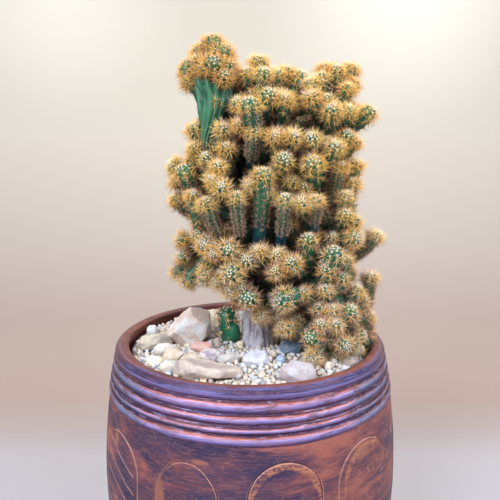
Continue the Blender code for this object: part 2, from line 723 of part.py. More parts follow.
make_pot()
trunk = make_trunk()
soil = make_soil()
grit = make_grit()
stones = [make_stone(name, place) for name, place in STONES.items()]
branches = make_branches()
offset = make_offset()
trunk_seat = fattened(trunk, TRUNK_SWELL)
boolean(branches, "DIFFERENCE", trunk_seat)
boolean(offset, "DIFFERENCE", trunk_seat)
keep_main_body(branches)
boolean(soil, "DIFFERENCE", trunk_seat)
boolean(grit, "DIFFERENCE", trunk_seat)
for buried in [offset] + stones:
    boolean(grit, "DIFFERENCE", fattened(buried, STONE_SWELL))
keep_main_body(grit)
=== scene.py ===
# %% [markdown]
# # A potted monstrose cactus
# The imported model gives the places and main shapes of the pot, the stones, the trunk and the plant.
# This lesson puts a finer piece over each solid, and every finish is worked out by nodes.

# %% The frame
import json
import math
import random

import bpy
import numpy as np
from mathutils import Matrix, Vector, noise
from mathutils.bvhtree import BVHTree

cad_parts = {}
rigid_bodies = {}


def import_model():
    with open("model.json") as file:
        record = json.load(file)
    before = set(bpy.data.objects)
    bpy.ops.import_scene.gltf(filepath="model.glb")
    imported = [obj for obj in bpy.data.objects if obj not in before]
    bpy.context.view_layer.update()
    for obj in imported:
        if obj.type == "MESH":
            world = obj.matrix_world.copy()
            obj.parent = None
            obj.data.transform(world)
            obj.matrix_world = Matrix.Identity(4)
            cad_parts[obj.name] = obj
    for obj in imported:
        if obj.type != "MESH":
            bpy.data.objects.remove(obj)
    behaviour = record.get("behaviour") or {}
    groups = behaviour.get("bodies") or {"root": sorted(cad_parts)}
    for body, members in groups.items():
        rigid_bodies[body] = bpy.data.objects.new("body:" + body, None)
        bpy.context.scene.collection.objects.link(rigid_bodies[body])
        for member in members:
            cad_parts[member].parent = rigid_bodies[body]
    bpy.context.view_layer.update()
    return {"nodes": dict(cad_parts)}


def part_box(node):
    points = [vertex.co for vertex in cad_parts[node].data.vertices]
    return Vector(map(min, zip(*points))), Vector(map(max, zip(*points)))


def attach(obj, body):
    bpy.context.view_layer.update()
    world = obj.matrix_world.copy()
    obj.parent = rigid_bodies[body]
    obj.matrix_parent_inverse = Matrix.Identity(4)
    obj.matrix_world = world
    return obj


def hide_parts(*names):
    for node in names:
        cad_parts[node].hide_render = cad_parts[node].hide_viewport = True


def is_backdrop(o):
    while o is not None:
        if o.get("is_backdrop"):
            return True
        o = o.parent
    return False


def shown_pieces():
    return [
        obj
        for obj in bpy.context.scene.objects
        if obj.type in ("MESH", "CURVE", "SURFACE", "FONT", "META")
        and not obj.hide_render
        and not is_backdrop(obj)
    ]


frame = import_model()
MM = 0.001
GOLDEN_ANGLE = math.radians(137.5)

# %% [markdown]
# ## Bench tools
# An operator acts on everything that is selected, and the loaded nodes come in selected.
# So each step first clears the selection and picks the one object it works on.

# %% Picking and shaping
def clear_choice():
    """Leaves edit mode and selects nothing."""
    if bpy.context.mode != "OBJECT":
        bpy.ops.object.mode_set(mode="OBJECT")
    bpy.ops.object.select_all(action="DESELECT")


def pick(piece):
    """Makes one object the only one that operators act on."""
    clear_choice()
    piece.select_set(True)
    bpy.context.view_layer.objects.active = piece


def settle(piece):
    """Applies a piece's place, turn and size to its mesh."""
    pick(piece)
    bpy.ops.object.transform_apply(location=True, rotation=True, scale=True)


def shape_with(piece, kind, **settings):
    """Adds a modifier and applies it."""
    pick(piece)
    step = piece.modifiers.new(kind, kind)
    for name, value in settings.items():
        setattr(step, name, value)
    bpy.ops.object.modifier_apply(modifier=step.name)


def edit_all(piece):
    """Opens a piece in edit mode with all of it selected."""
    pick(piece)
    bpy.ops.object.mode_set(mode="EDIT")
    bpy.ops.mesh.select_all(action="SELECT")


def select_points(piece, wanted):
    """Opens a piece in edit mode with the vertices selected for which wanted is true."""
    pick(piece)
    bpy.ops.object.mode_set(mode="EDIT")
    bpy.ops.mesh.select_mode(type="VERT")
    bpy.ops.mesh.select_all(action="DESELECT")
    bpy.ops.object.mode_set(mode="OBJECT")
    for vert in piece.data.vertices:
        vert.select = wanted(vert)
    bpy.ops.object.mode_set(mode="EDIT")
    bpy.ops.mesh.select_mode(type="VERT")


def face_outward():
    """Ends an edit with every face of the piece facing outward."""
    bpy.ops.mesh.select_all(action="SELECT")
    bpy.ops.mesh.normals_make_consistent(inside=False)
    clear_choice()


def roughen(piece, size, strength, level=0.5, detail=2):
    """Pushes a surface in and out by a soft pattern, with lumps of this size in metres."""
    pattern = bpy.data.textures.new("clouds", "CLOUDS")
    pattern.noise_scale = size
    pattern.noise_depth = detail
    shape_with(
        piece, "DISPLACE", texture=pattern, strength=strength, mid_level=level, texture_coords="LOCAL"
    )


def combine(piece, operation, collection):
    """Joins the objects of a collection to a piece, or cuts them out of it. They are used up."""
    shape_with(
        piece, "BOOLEAN", operation=operation, operand_type="COLLECTION", collection=collection,
        solver="MANIFOLD",
    )
    for used in list(collection.objects):
        bpy.data.objects.remove(used)


def new_piece(name, mesh):
    """Puts a mesh into the scene as an object."""
    piece = bpy.data.objects.new(name, mesh)
    bpy.context.scene.collection.objects.link(piece)
    return piece


def mesh_alone(piece):
    """Keeps the mesh of a piece, to be copied many times, and removes its object."""
    mesh = piece.data
    bpy.data.objects.remove(piece)
    return mesh


def triangle_count(piece):
    """How many triangles a piece has."""
    return sum(len(face.vertices) - 2 for face in piece.data.polygons)


def finish_piece(piece, name, finish, nodes=()):
    """Names a piece, gives it its finish, and says which nodes it stands for."""
    clear_choice()
    piece.name = name
    piece.data.name = name
    piece.data.materials.clear()
    piece.data.materials.append(finish.material)
    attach(piece, "root")
    if nodes:
        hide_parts(*nodes)
    print(name, triangle_count(piece), "triangles")


# %% [markdown]
# ## Writing shading as sums
# A node tree can be wired one node at a time, but then the idea of a finish is hard to see.
# Here one small class stands for a socket, so that 1 - mask * 0.5 adds the Math nodes for us.

# %% Sockets that can be added and multiplied
class Wire:
    """One output of a node. Arithmetic on it adds Math nodes."""

    def __init__(self, finish, socket):
        self.finish = finish
        self.socket = socket

    def math(self, operation, *inputs):
        """A Math node fed with sockets or numbers."""
        return self.finish.node("Math", inputs, operation=operation)

    def __add__(self, other):
        return self.math("ADD", self, other)

    def __sub__(self, other):
        return self.math("SUBTRACT", self, other)

    def __rsub__(self, other):
        return self.math("SUBTRACT", other, self)

    def __mul__(self, other):
        return self.math("MULTIPLY", self, other)

    def __truediv__(self, other):
        return self.math("DIVIDE", self, other)

    def __abs__(self):
        return self.math("ABSOLUTE", self)


class Finish:
    """A material. Constants sit on its shader's own sockets, and nodes give what varies."""

    def __init__(self, name, constants):
        self.material = bpy.data.materials.new(name)
        self.material.use_nodes = True
        self.tree = self.material.node_tree
        self.shader = self.tree.nodes["Principled BSDF"]
        for socket, value in constants.items():
            self.shader.inputs[socket].default_value = value

    def node(self, kind, inputs=(), output=0, stops=(), **settings):
        """Any node: its type, its settings, which are set first, and the values or links of its sockets."""
        made = self.tree.nodes.new("ShaderNode" + kind)
        for name, value in settings.items():
            setattr(made, name, value)
        if stops:
            marks = made.color_ramp.elements
            marks.remove(marks[1])
            marks[0].position = stops[0][0]
            marks[0].color = (*stops[0][1], 1)
            for place, shade in stops[1:]:
                marks.new(place).color = (*shade, 1)
        pairs = inputs.items() if isinstance(inputs, dict) else enumerate(inputs)
        for key, value in pairs:
            if isinstance(value, Wire):
                self.tree.links.new(value.socket, made.inputs[key])
            else:
                made.inputs[key].default_value = value
        return Wire(self, made.outputs[output])

    def place(self, stretch=(1, 1, 1)):
        """Object coordinates in metres, stretched along each axis."""
        where = self.node("TexCoord", output=3)
        return self.node("VectorMath", (where, stretch), operation="MULTIPLY")

    def along(self, axis):
        """How far along X, Y or Z a point lies, in metres."""
        return self.node("SeparateXYZ", (self.place(),), output="XYZ".index(axis))

    def length(self, first, second):
        """The length of a slanting line from its two sides."""
        return self.node("Math", (first * first + second * second,), operation="SQRT")

    def noise(self, scale, detail=3, stretch=(1, 1, 1), roughness=0.5, distortion=0.0):
        """Soft noise from 0 to 1."""
        sockets = {"Vector": self.place(stretch), "Scale": scale, "Detail": detail}
        sockets.update({"Roughness": roughness, "Distortion": distortion})
        return self.node("TexNoise", sockets)

    def cells(self, scale):
        """Distance inside round cells."""
        return self.node("TexVoronoi", {"Vector": self.place(), "Scale": scale})

    def rise(self, value, low, high):
        """A smooth step that goes from 0 at low to 1 at high."""
        sockets = {"Value": value, "From Min": low, "From Max": high}
        return self.node("MapRange", sockets, interpolation_type="SMOOTHSTEP")

    def attribute(self, name):
        """A number kept on the mesh."""
        return self.node("Attribute", output=2, attribute_name=name)

    def mix(self, share, under, over):
        """Two colours, of which the second takes over as share goes from 0 to 1."""
        under = under if isinstance(under, Wire) else (*under, 1)
        over = over if isinstance(over, Wire) else (*over, 1)
        return self.node("Mix", {0: share, 6: under, 7: over}, output=2, data_type="RGBA")

    def brushed(self, under, strokes):
        """Colours brushed over one another. A stroke is a field, its low, its high, a share and a colour."""
        for field, low, high, share, tint in strokes:
            under = self.mix(self.rise(field, low, high) * share, under, tint)
        return under

    def ramp(self, value, stops):
        """A colour ramp."""
        return self.node("ValToRGB", (value,), stops=stops)

    def bump(self, height, distance, strength=1.0):
        """Relief too fine to model, this deep in metres."""
        sockets = {"Height": height, "Distance": distance, "Strength": strength}
        self.paint("Normal", self.node("Bump", sockets))

    def paint(self, socket, wire):
        """Feeds one of the shader's sockets."""
        self.tree.links.new(wire.socket, self.shader.inputs[socket])


# %% [markdown]
# ## The camera
# The picture was taken from a little above the rim, looking down by nine degrees.
# The eye's place follows from how the round rim looks as an oval and how wide it is.

# %% The camera
EYE = Vector((0, -299.6, 252.1)) * MM
EYE_DIP = math.radians(9)
bpy.ops.object.camera_add(location=EYE, rotation=(math.pi / 2 - EYE_DIP, 0, 0))
camera = bpy.context.object
camera.data.lens = 36
camera.data.sensor_width = 36
camera.data.clip_start = 1 * MM
bpy.context.scene.camera = camera
print("eye at", [round(part, 3) for part in EYE])

# %% [markdown]
# ## The studio
# A plain pale sheet runs along the floor and curves up behind, so the eye sees no line where they meet.
# Two large soft lamps stand in front and a weak one behind, and two soft glows lie on the sheet.

# %% The sheet of the backdrop
SHEET_WIDTH = 4.0
SHEET_FRONT = -1.6
SHEET_BACK = 1.1
SHEET_TALL = 2.0
SHEET_CURVE = 0.6
bpy.ops.mesh.primitive_plane_add(size=1, location=(0, (SHEET_FRONT + SHEET_BACK) / 2, 0))
sheet = bpy.context.object
sheet.scale = (SHEET_WIDTH, SHEET_BACK - SHEET_FRONT, 1)
settle(sheet)
select_points(sheet, lambda vert: vert.co.y > 0)
bpy.ops.mesh.extrude_region_move(TRANSFORM_OT_translate={"value": (0, 0, SHEET_TALL)})
select_points(sheet, lambda vert: vert.co.y > 0 and vert.co.z < 0.1)
bpy.ops.mesh.bevel(offset=SHEET_CURVE, segments=24, affect="EDGES")
clear_choice()
sheet.name = "backdrop_sheet"
sheet.data.shade_smooth()
sheet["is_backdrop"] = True

# %% [markdown]
# The paper's colour changes with the distance along the sheet, across the floor and then up the wall: this is
# painted light on plain paper, darker low on the wall and brighter towards its top.
# It shines a little by itself, which stands for the light of the room that the lamps don't give.

# %% The paper's colours and painted light
PAPER_AND_LIGHT_STOPS = (
    (0.0, (0.58, 0.55, 0.59)), (0.028, (0.59, 0.55, 0.58)), (0.040, (0.54, 0.45, 0.44)),
    (0.055, (0.53, 0.41, 0.37)), (0.13, (0.56, 0.45, 0.41)), (0.29, (0.69, 0.60, 0.54)),
    (0.60, (0.90, 0.82, 0.72)), (0.95, (0.97, 0.90, 0.78)),
)
FLOOR_SHARE = 0.25
PAPER_DIMMED = 0.58
SHINE_DIMMED = 0.505
GLOW_SHARE = 0.50
GLOW_TINT = (0.95, 0.92, 0.86)
BLACK = (0, 0, 0)
backdrop = Finish("warm_paper_with_painted_light", {"Roughness": 0.9, "Specular IOR Level": 0.1, "Emission Strength": 1.0})


def glow_spot(across, up, reach):
    """A soft round glow on the wall of the sheet: 1 at its middle and 0 at its reach."""
    middle = (across, SHEET_BACK, up)
    away = backdrop.node("VectorMath", (backdrop.place(), middle), 1, operation="DISTANCE")
    return backdrop.rise(away, reach, 0.0)


on_floor = backdrop.node("Math", (backdrop.along("Y"), 0.0), operation="MAXIMUM")
# Painted light: the plain paper is darker where the floor curves up and brighter towards the top of the wall.
paper = backdrop.ramp(backdrop.along("Z") + on_floor * FLOOR_SHARE, PAPER_AND_LIGHT_STOPS)
glow = glow_spot(-0.50, 0.74, 0.40) * 0.8 + glow_spot(0.42, 0.76, 0.46) * 1.3
shade = backdrop.mix(SHINE_DIMMED, paper, BLACK)
backdrop.paint("Base Color", backdrop.mix(PAPER_DIMMED, paper, BLACK))
backdrop.paint("Emission Color", backdrop.mix(glow * GLOW_SHARE, shade, GLOW_TINT))
sheet.data.materials.append(backdrop.material)
print("paper colour stops:", len(PAPER_AND_LIGHT_STOPS))

# %% The lamps
PLANT_MIDDLE = Vector((0.01, 0, 0.2))
DAYLIGHT = (0.84, 0.91, 1.0)
ROOM_LIGHT = 0.30


def lamp(name, place, size, power, tint):
    """A square soft lamp at a place, turned to the middle of the plant."""
    bpy.ops.object.light_add(type="AREA", location=place)
    made = bpy.context.object
    made.name = name
    made.data.size = size
    made.data.energy = power
    made.data.color = tint
    made.rotation_euler = (PLANT_MIDDLE - Vector(place)).to_track_quat("-Z", "Y").to_euler()


lamp("left_window", (-0.60, -0.70, 0.90), 0.55, 17, DAYLIGHT)
lamp("right_window", (0.75, -0.50, 0.80), 0.6, 12, DAYLIGHT)
lamp("top_lamp", (0.1, 0.45, 1.0), 0.5, 5, (1.0, 0.95, 0.86))
world = bpy.data.worlds.new("soft_room")
bpy.context.scene.world = world
world.use_nodes = True
room = world.node_tree.nodes["Background"]
room.inputs["Color"].default_value = (*DAYLIGHT, 1)
room.inputs["Strength"].default_value = ROOM_LIGHT
bpy.context.scene.view_settings.view_transform = "Standard"

# %% [markdown]
# ## The turned pot
# The pot is a barrel with a lip and five raised bands, which were cut on the wheel with a narrow tool.
# Half of its outline is drawn once as a chain of points and spun round the upright axis.

# %% The pot's measures
RIM_Z = 152 * MM
RIM_R = 80 * MM
BELLY_Z = 74 * MM
BELLY_R = 89.6 * MM
WALL = 6.5 * MM
FLOOR = 9 * MM
FLOOR_ROUND = 8 * MM
BANDS = ((1.5, 5.2), (6.8, 11.1), (12.9, 16.2), (18.3, 20.6), (22.2, 26.3))
BANDS_END = 27.3
GROOVE_DEEP = 1.0 * MM
BAND_BULGE = 0.35 * MM
BODY_RECESS = 0.5 * MM
FOOT_RING_Z = 38 * MM
FOOT_RING_HALF = 1.6 * MM


def barrel_radius(z):
    """Radius of the pot's outside, which is widest at its belly."""
    return BELLY_R - (BELLY_R - RIM_R) * ((z - BELLY_Z) / (RIM_Z - BELLY_Z)) ** 2


def band_relief(depth):
    """How far the wall stands out from the barrel, this many mm below the rim."""
    for upper, lower in BANDS:
        if upper <= depth <= lower:
            across = (2 * depth - upper - lower) / (lower - upper)
            return BAND_BULGE * (1 - across ** 2)
    for (_, upper), (lower, _) in zip(BANDS, BANDS[1:]):
        if upper < depth < lower:
            across = abs(2 * depth - upper - lower) / (lower - upper)
            return -GROOVE_DEEP * (1 - across)
    if depth < BANDS_END:
        return -GROOVE_DEEP * (depth - BANDS[-1][1]) / (BANDS_END - BANDS[-1][1])
    return -BODY_RECESS


# %% The chain of points
BAND_STEP = 0.4
BODY_STEP = 2.6 * MM
BODY_START, BODY_END = RIM_Z - (BANDS_END + 1.2) * MM, 8 * MM
INNER_HEIGHTS = (14, 22, 35, 50, 65, 80, 95, 110, 122, 132, 140, 146)
LIP_TURNS = 7
LIP_ROUND = 1.5 * MM
LIP_HALF = WALL / 2
FOOT_CURVE = ((0.4, 6), (1.0, 2.4), (3, 0.4), (5, 0.0))
outline = [(0.0, FLOOR), (barrel_radius(FLOOR) - WALL - FLOOR_ROUND, FLOOR)]
outline += [(barrel_radius(z * MM) - WALL, z * MM) for z in INNER_HEIGHTS]
for k in range(LIP_TURNS + 1):
    angle = math.pi * k / LIP_TURNS
    reach = RIM_R - LIP_HALF - LIP_HALF * math.cos(angle)
    outline.append((reach, RIM_Z - LIP_ROUND + LIP_ROUND * math.sin(angle)))
for depth in np.arange(BANDS[0][0] + BAND_STEP, BANDS_END, BAND_STEP):
    z = RIM_Z - depth * MM
    outline.append((barrel_radius(z) + band_relief(depth), z))
for z in np.arange(BODY_START, BODY_END, -BODY_STEP):
    notch = max(0.0, 1 - abs(z - FOOT_RING_Z) / FOOT_RING_HALF) * GROOVE_DEEP
    outline.append((barrel_radius(z) - BODY_RECESS - notch, z))
outline += [(barrel_radius(0) - inward * MM, z * MM) for inward, z in FOOT_CURVE]
outline.append((0.0, 0.0))


def turned(chain, steps):
    """Draws a chain of (radius, height) by extruding one point, then spins it round the upright axis."""
    bpy.ops.mesh.primitive_plane_add(size=MM, location=(chain[0][0], 0, chain[0][1]))
    made = bpy.context.object
    settle(made)
    edit_all(made)
    bpy.ops.mesh.merge(type="CENTER")
    for (r0, z0), (r1, z1) in zip(chain, chain[1:]):
        bpy.ops.mesh.extrude_region_move(TRANSFORM_OT_translate={"value": (r1 - r0, 0, z1 - z0)})
    bpy.ops.mesh.select_all(action="SELECT")
    bpy.ops.mesh.spin(steps=steps, angle=2 * math.pi, center=(0, 0, 0), axis=(0, 0, 1))
    bpy.ops.mesh.select_all(action="SELECT")
    bpy.ops.mesh.remove_doubles(threshold=0.02 * MM)
    face_outward()
    return made


POT_STEPS = 240
pot = turned(outline, POT_STEPS)
roughen(pot, 45 * MM, 0.5 * MM)
print("pot turned:", len(outline), "points spun in", POT_STEPS, "steps")

# %% [markdown]
# ## The arches
# A row of eleven round arches was scratched into the soft clay with a blunt point.
# A thin rod is bent to the line of each arch, and all the rods are cut out of the wall at once.

# %% Scratching the arches
ARCH_SPACING = 2 * math.pi / 11
ARCH_FIRST = math.radians(11.2)
ARCH_HALF = math.radians(12.0)
ARCH_SPRING = 98.5 * MM
ARCH_RISE = 18.6 * MM
ARCH_FOOT = FOOT_RING_Z
SCRATCH = 0.75 * MM
FRONT_ARCHES = {
    -2: (-53.0, 12.6, 115.0), -1: (-20.5, 10.3, 115.2), 0: (11.2, 12.2, 117.4), 1: (42.6, 13.2, 117.6),
}
GUESSED_HALF, GUESSED_TOP = 12.0, 117.0
LEG_STEPS, BOW_STEPS = 12, 28
HAND_SHAKE = 0.007


def on_wall(turn, z):
    """A point on the wall's surface, turned from the front towards the right."""
    reach = barrel_radius(z) - BODY_RECESS
    return Vector((reach * math.sin(turn), -reach * math.cos(turn), z))


def rod(points, radius, collection):
    """Puts a thin round rod along some points, as a closed mesh, in a collection."""
    curve = bpy.data.curves.new("rod", "CURVE")
    curve.dimensions = "3D"
    curve.bevel_depth = radius
    curve.bevel_resolution = 1
    curve.use_fill_caps = True
    line = curve.splines.new("POLY")
    line.points.add(len(points) - 1)
    for spot, point in zip(line.points, points):
        spot.co = (*point, 1)
    made = bpy.data.objects.new("rod", curve)
    collection.objects.link(made)
    pick(made)
    bpy.ops.object.convert(target="MESH")
    edit_all(made)
    bpy.ops.mesh.remove_doubles(threshold=0.01 * MM)
    face_outward()


def arch_points(middle, half, top):
    """Up the left leg, over the top and down the right leg, with the shake of a hand."""
    legs = [ARCH_FOOT + (ARCH_SPRING - ARCH_FOOT) * k / LEG_STEPS for k in range(LEG_STEPS)]
    points = [(middle - half, z) for z in legs]
    for k in range(BOW_STEPS + 1):
        angle = math.pi * k / BOW_STEPS
        points.append((middle - half * math.cos(angle), ARCH_SPRING + (top - ARCH_SPRING) * math.sin(angle)))
    points += [(middle + half, z) for z in reversed(legs)]
    shake = [HAND_SHAKE * noise.noise(Vector((middle * 9, k * 0.16, 0))) for k in range(len(points))]
    return [on_wall(turn + off, z + off * 60 * MM) for (turn, z), off in zip(points, shake)]


scratches = bpy.data.collections.new("scratches")
bpy.context.scene.collection.children.link(scratches)
arch_dice = random.Random(3)
for k in range(-5, 6):
    jitter = (arch_dice.uniform(-1.2, 1.2), arch_dice.uniform(-1.2, 1.2), arch_dice.uniform(-1.5, 1.5))
    middle = math.degrees(ARCH_FIRST + ARCH_SPACING * k)
    guessed = (middle + jitter[0], GUESSED_HALF + jitter[1], GUESSED_TOP + jitter[2])
    middle, half, top = FRONT_ARCHES.get(k, guessed)
    rod(arch_points(math.radians(middle), math.radians(half), top * MM), SCRATCH, scratches)

# %% [markdown]
# The leftmost arch in front is crossed by slanting lines, like the veins of a leaf.

# %% Scratching the veins
VEIN_MIDDLE, VEIN_HALF = math.radians(-53.0), math.radians(11.4)
VEINS, VEIN_TOP, VEIN_APART, VEIN_FALL = 7, 109, 9.5, 13 * MM
EDGE_ANGLE = math.radians(38)
for k in range(VEINS):
    low = (VEIN_TOP - VEIN_APART * k) * MM
    vein = []
    for t in np.linspace(0.04, 0.96, 14):
        vein.append(on_wall(VEIN_MIDDLE - VEIN_HALF * (1 - 2 * t), low - VEIN_FALL * t ** 1.3))
    rod(vein, SCRATCH * 0.75, scratches)
combine(pot, "DIFFERENCE", scratches)
pick(pot)
bpy.ops.object.shade_smooth_by_angle(angle=EDGE_ANGLE)
print("scratched pot:", triangle_count(pot), "triangles")

# %% Marking the scratched faces
SCRATCH_FACE = 4e-6
BODY_LOW, BODY_HIGH = FOOT_RING_Z + 2 * MM, RIM_Z - 29 * MM
OUTER_WALL = BELLY_R - 12 * MM
FACING_OUT = 0.93
scratched = pot.data.attributes.new("scratched", "FLOAT", "CORNER")
marks = np.zeros(len(pot.data.loops))
for face in pot.data.polygons:
    middle = face.center
    outward = Vector((middle.x, middle.y, 0)).normalized()
    on_body = BODY_LOW < middle.z < BODY_HIGH and middle.xy.length > OUTER_WALL
    if on_body and face.area < SCRATCH_FACE and face.normal.dot(outward) < FACING_OUT:
        marks[face.loop_start:face.loop_start + face.loop_total] = 1
scratched.data.foreach_set("value", marks.astype(np.float32))
print("scratched corners:", int(marks.sum()))

# %% [markdown]
# ## The patina of the pot
# Dark metal-coloured slip was brushed over red clay and wiped off the high places and the scratches.
# Long strokes of noise run round the pot, and the depth below the rim says which band a colour is for.
# The bands also carry painted highlights and glints, a painted sheen towards the sides and painted shade in
# the grooves.

# %% The strokes of the brush
BAND_MARKS = (0.0, 0.08, 0.16, 0.33, 0.55, 0.86)
RAMP_DEPTH = 30


def band_stops(tints):
    """Colour stops by depth below the rim. The tints go down each band, from its dark edge, which is painted
    groove shade, past a painted highlight to its foot.
    """
    stops = []
    for upper, lower in BANDS:
        marks = [(upper + (lower - upper) * mark) / RAMP_DEPTH for mark in BAND_MARKS]
        stops += list(zip(marks, tints))
    return tuple(stops)


# The pot's finish: brushed patina over red clay, with painted highlights, glints, sheen and groove shade on
# the bands.
clay = Finish("brushed_patina_and_painted_sheen", {"Specular IOR Level": 0.28})
x_wire, y_wire, z_wire = [clay.along(axis) for axis in "XYZ"]
strokes = clay.noise(30, 6, (1, 1, 8), 0.62)
fine_strokes = clay.noise(150, 5, (1, 1, 9), 0.65)
patches = clay.noise(24, 4, (1, 1, 2.2), 0.55, 0.4)
smudges = clay.noise(62, 4, (1, 1, 1.7), 0.6, 0.6)
speckle = clay.noise(650, 2)
wander = (fine_strokes - 0.5) * 0.7 + (strokes - 0.5) * 1.2
below = ((RIM_Z - z_wire) / MM + wander) / RAMP_DEPTH
radius = clay.length(x_wire, y_wire)
turn = clay.node("Math", (x_wire, y_wire * -1), operation="ARCTAN2")
print("nodes so far:", len(clay.tree.nodes))

# %% The body below the bands
DARK_SLIP = (0.058, 0.036, 0.078)
RUBS = (
    (0.71, 112, 0.08, 5), (-0.53, 92, 0.045, 16), (-0.97, 111, 0.035, 6), (-0.28, 116.5, 0.06, 1.6),
    (-0.37, 85, 0.17, 0.8),
)
in_front = 1 - clay.rise(abs(turn + 0.02), 0.35, 0.95)
sideways = clay.node("Math", (turn,), operation="SINE")
on_right = clay.rise(sideways, 0.05, 0.68)
centre_right = 1 - clay.rise(abs(turn - 0.33), 0.10, 0.34)
field = patches * 0.55 + strokes * 0.26 + fine_strokes * 0.26 + on_right * 0.020 + centre_right * 0.036
body = clay.ramp(field, (
    (0.45, (0.030, 0.019, 0.056)), (0.50, (0.068, 0.032, 0.064)), (0.55, (0.128, 0.046, 0.062)),
    (0.59, (0.215, 0.066, 0.064)), (0.64, (0.320, 0.098, 0.070)),
))
body = clay.mix(clay.rise(smudges, 0.50, 0.62) * 0.40, body, DARK_SLIP)
between = (1 - clay.rise(abs(turn + 0.14), 0.10, 0.40)) * clay.rise(z_wire, 0.124, 0.108)
body = clay.mix(between * (1.1 - patches * 0.9), body, DARK_SLIP)
body = clay.brushed(body, (
    (fine_strokes, 0.52, 0.62, 0.30, (0.230, 0.105, 0.118)),
    (speckle, 0.58, 0.72, 0.25, (0.340, 0.180, 0.185)),
))
for rub_turn, rub_z, rub_wide, rub_tall in RUBS:
    off_turn = (turn - rub_turn) / rub_wide
    off_height = (z_wire / MM - rub_z) / rub_tall
    off_rub = clay.length(off_turn, off_height) + (fine_strokes - 0.5) * 2.4
    body = clay.mix((1 - clay.rise(off_rub, 0.5, 1.0)) * 0.6, body, (0.400, 0.150, 0.080))
print("places rubbed down to the clay:", len(RUBS))

# %% The slip on the bands, with painted highlights, glints, sheen and groove shade
# Each band's ramp runs as follows. It is dark at its top edge and in the grooves, which is painted groove
# shade. Then comes an orange line of wiped slip, then a pale lavender painted highlight over the slip's
# violet or blue, and it is dark again at its foot.
violet = band_stops((
    (0.050, 0.014, 0.028), (0.430, 0.095, 0.050), (0.600, 0.220, 0.190), (0.600, 0.400, 0.690),
    (0.310, 0.260, 0.580), (0.080, 0.044, 0.150),
))
blue = band_stops((
    (0.030, 0.018, 0.045), (0.260, 0.095, 0.090), (0.270, 0.200, 0.260), (0.330, 0.310, 0.470),
    (0.190, 0.215, 0.400), (0.050, 0.055, 0.130),
))
brown = band_stops((
    (0.040, 0.016, 0.024), (0.150, 0.055, 0.060), (0.160, 0.070, 0.085), (0.200, 0.110, 0.150),
    (0.105, 0.062, 0.105), (0.045, 0.024, 0.048),
))
# Towards the front the bands take the violet ramp, whose brighter lavender is a painted highlight. The
# patches add the slip's own change of colour.
violet_and_front_highlight = clay.rise(in_front * 0.5 + patches, 0.55, 0.85)
slip = clay.mix(violet_and_front_highlight, clay.ramp(below, blue), clay.ramp(below, violet))
at_sides = clay.rise(abs(turn + 0.02), 0.80, 1.30)
# Smudges brown the slip. Towards the sides it browns further, and that part is a painted grazing sheen.
browned_and_side_sheen = clay.rise(smudges + at_sides * 0.12, 0.52, 0.66) * 0.7
slip = clay.mix(browned_and_side_sheen, slip, clay.ramp(below, brown))
streaks = clay.noise(34, 6, (1, 1, 34), 0.75)
# The dark and the brown streaks are slip. The pale lavender strokes are painted glints of the glaze.
slip = clay.brushed(slip, (
    (streaks, 0.52, 0.58, 0.50, (0.050, 0.040, 0.105)),
    (streaks, 0.48, 0.42, 0.45, (0.340, 0.125, 0.110)),
    (fine_strokes, 0.54, 0.64, 0.35, (0.460, 0.370, 0.620)),
    (fine_strokes, 0.47, 0.39, 0.45, (0.150, 0.060, 0.085)),
))
band_share = 1 - clay.rise(below, 26.4 / RAMP_DEPTH, 27.4 / RAMP_DEPTH)
colour = clay.mix(band_share, body, slip)
# The band under the rim has an orange edge, navy slip, a painted lavender highlight low in the band, and
# painted glints along the lighter streaks.
first_band_with_sheen = clay.ramp((RIM_Z - z_wire) / (6 * MM) + (streaks - 0.5) * 0.35, (
    (0.0, (0.330, 0.095, 0.062)), (0.06, (0.200, 0.090, 0.130)), (0.15, (0.050, 0.036, 0.095)),
    (0.45, (0.034, 0.026, 0.078)), (0.60, (0.260, 0.190, 0.420)), (0.70, (0.100, 0.060, 0.170)),
))
first_band_with_sheen = clay.brushed(first_band_with_sheen, (
    (streaks, 0.51, 0.57, 0.60, (0.200, 0.180, 0.400)),
    (streaks, 0.49, 0.43, 0.55, (0.130, 0.050, 0.072)),
))
# Towards the sides the first band browns, as a painted grazing sheen.
first_band_with_sheen = clay.mix(at_sides * 0.75, first_band_with_sheen, (0.170, 0.080, 0.085))
first_share = 1 - clay.rise(below, 5.0 / RAMP_DEPTH, 5.4 / RAMP_DEPTH)
first_share = first_share * (1 - clay.rise(smudges, 0.52, 0.66) * 0.4)
colour = clay.mix(first_share, colour, first_band_with_sheen)
print("nodes with the bands:", len(clay.tree.nodes))

# %% [markdown]
# On the right the slip was wiped off along the inner side of each arch's line. So the distance to the
# nearest arch is worked out, by turning every arch to the place of the first one.

# %% Wiped arches, grains and the lip
seam = ARCH_FIRST - ARCH_SPACING / 2
local = clay.node("Math", (turn - seam, ARCH_SPACING), operation="FLOORED_MODULO") - ARCH_SPACING / 2
above = clay.node("Math", (z_wire - ARCH_SPRING, 0.0), operation="MAXIMUM") * (ARCH_HALF / ARCH_RISE)
off_line = (clay.length(local, above) - ARCH_HALF) * (BELLY_R / MM)
low = clay.rise(z_wire, ARCH_SPRING - 4 * MM, ARCH_SPRING + 8 * MM)
wiped = clay.rise(off_line, low * -2.6 - 1.6, low * -2.0 - 0.5) * (1 - clay.rise(off_line, -0.5, 0.3))
wiped = wiped * clay.rise(smudges + in_front * 0.1, 0.38, 0.52) * clay.rise(sideways, -0.15, 0.0)
wiped = wiped * clay.rise(fine_strokes + speckle * 0.5, 0.60, 0.82)
colour = clay.mix(wiped * (1 - band_share) * 0.95, colour, (0.420, 0.155, 0.085))
grains = clay.rise(speckle, 0.57, 0.66) * clay.rise(sideways, 0.39, 0.68) * clay.rise(smudges, 0.44, 0.58)
colour = clay.mix(grains * 0.6, colour, (0.50, 0.22, 0.17))
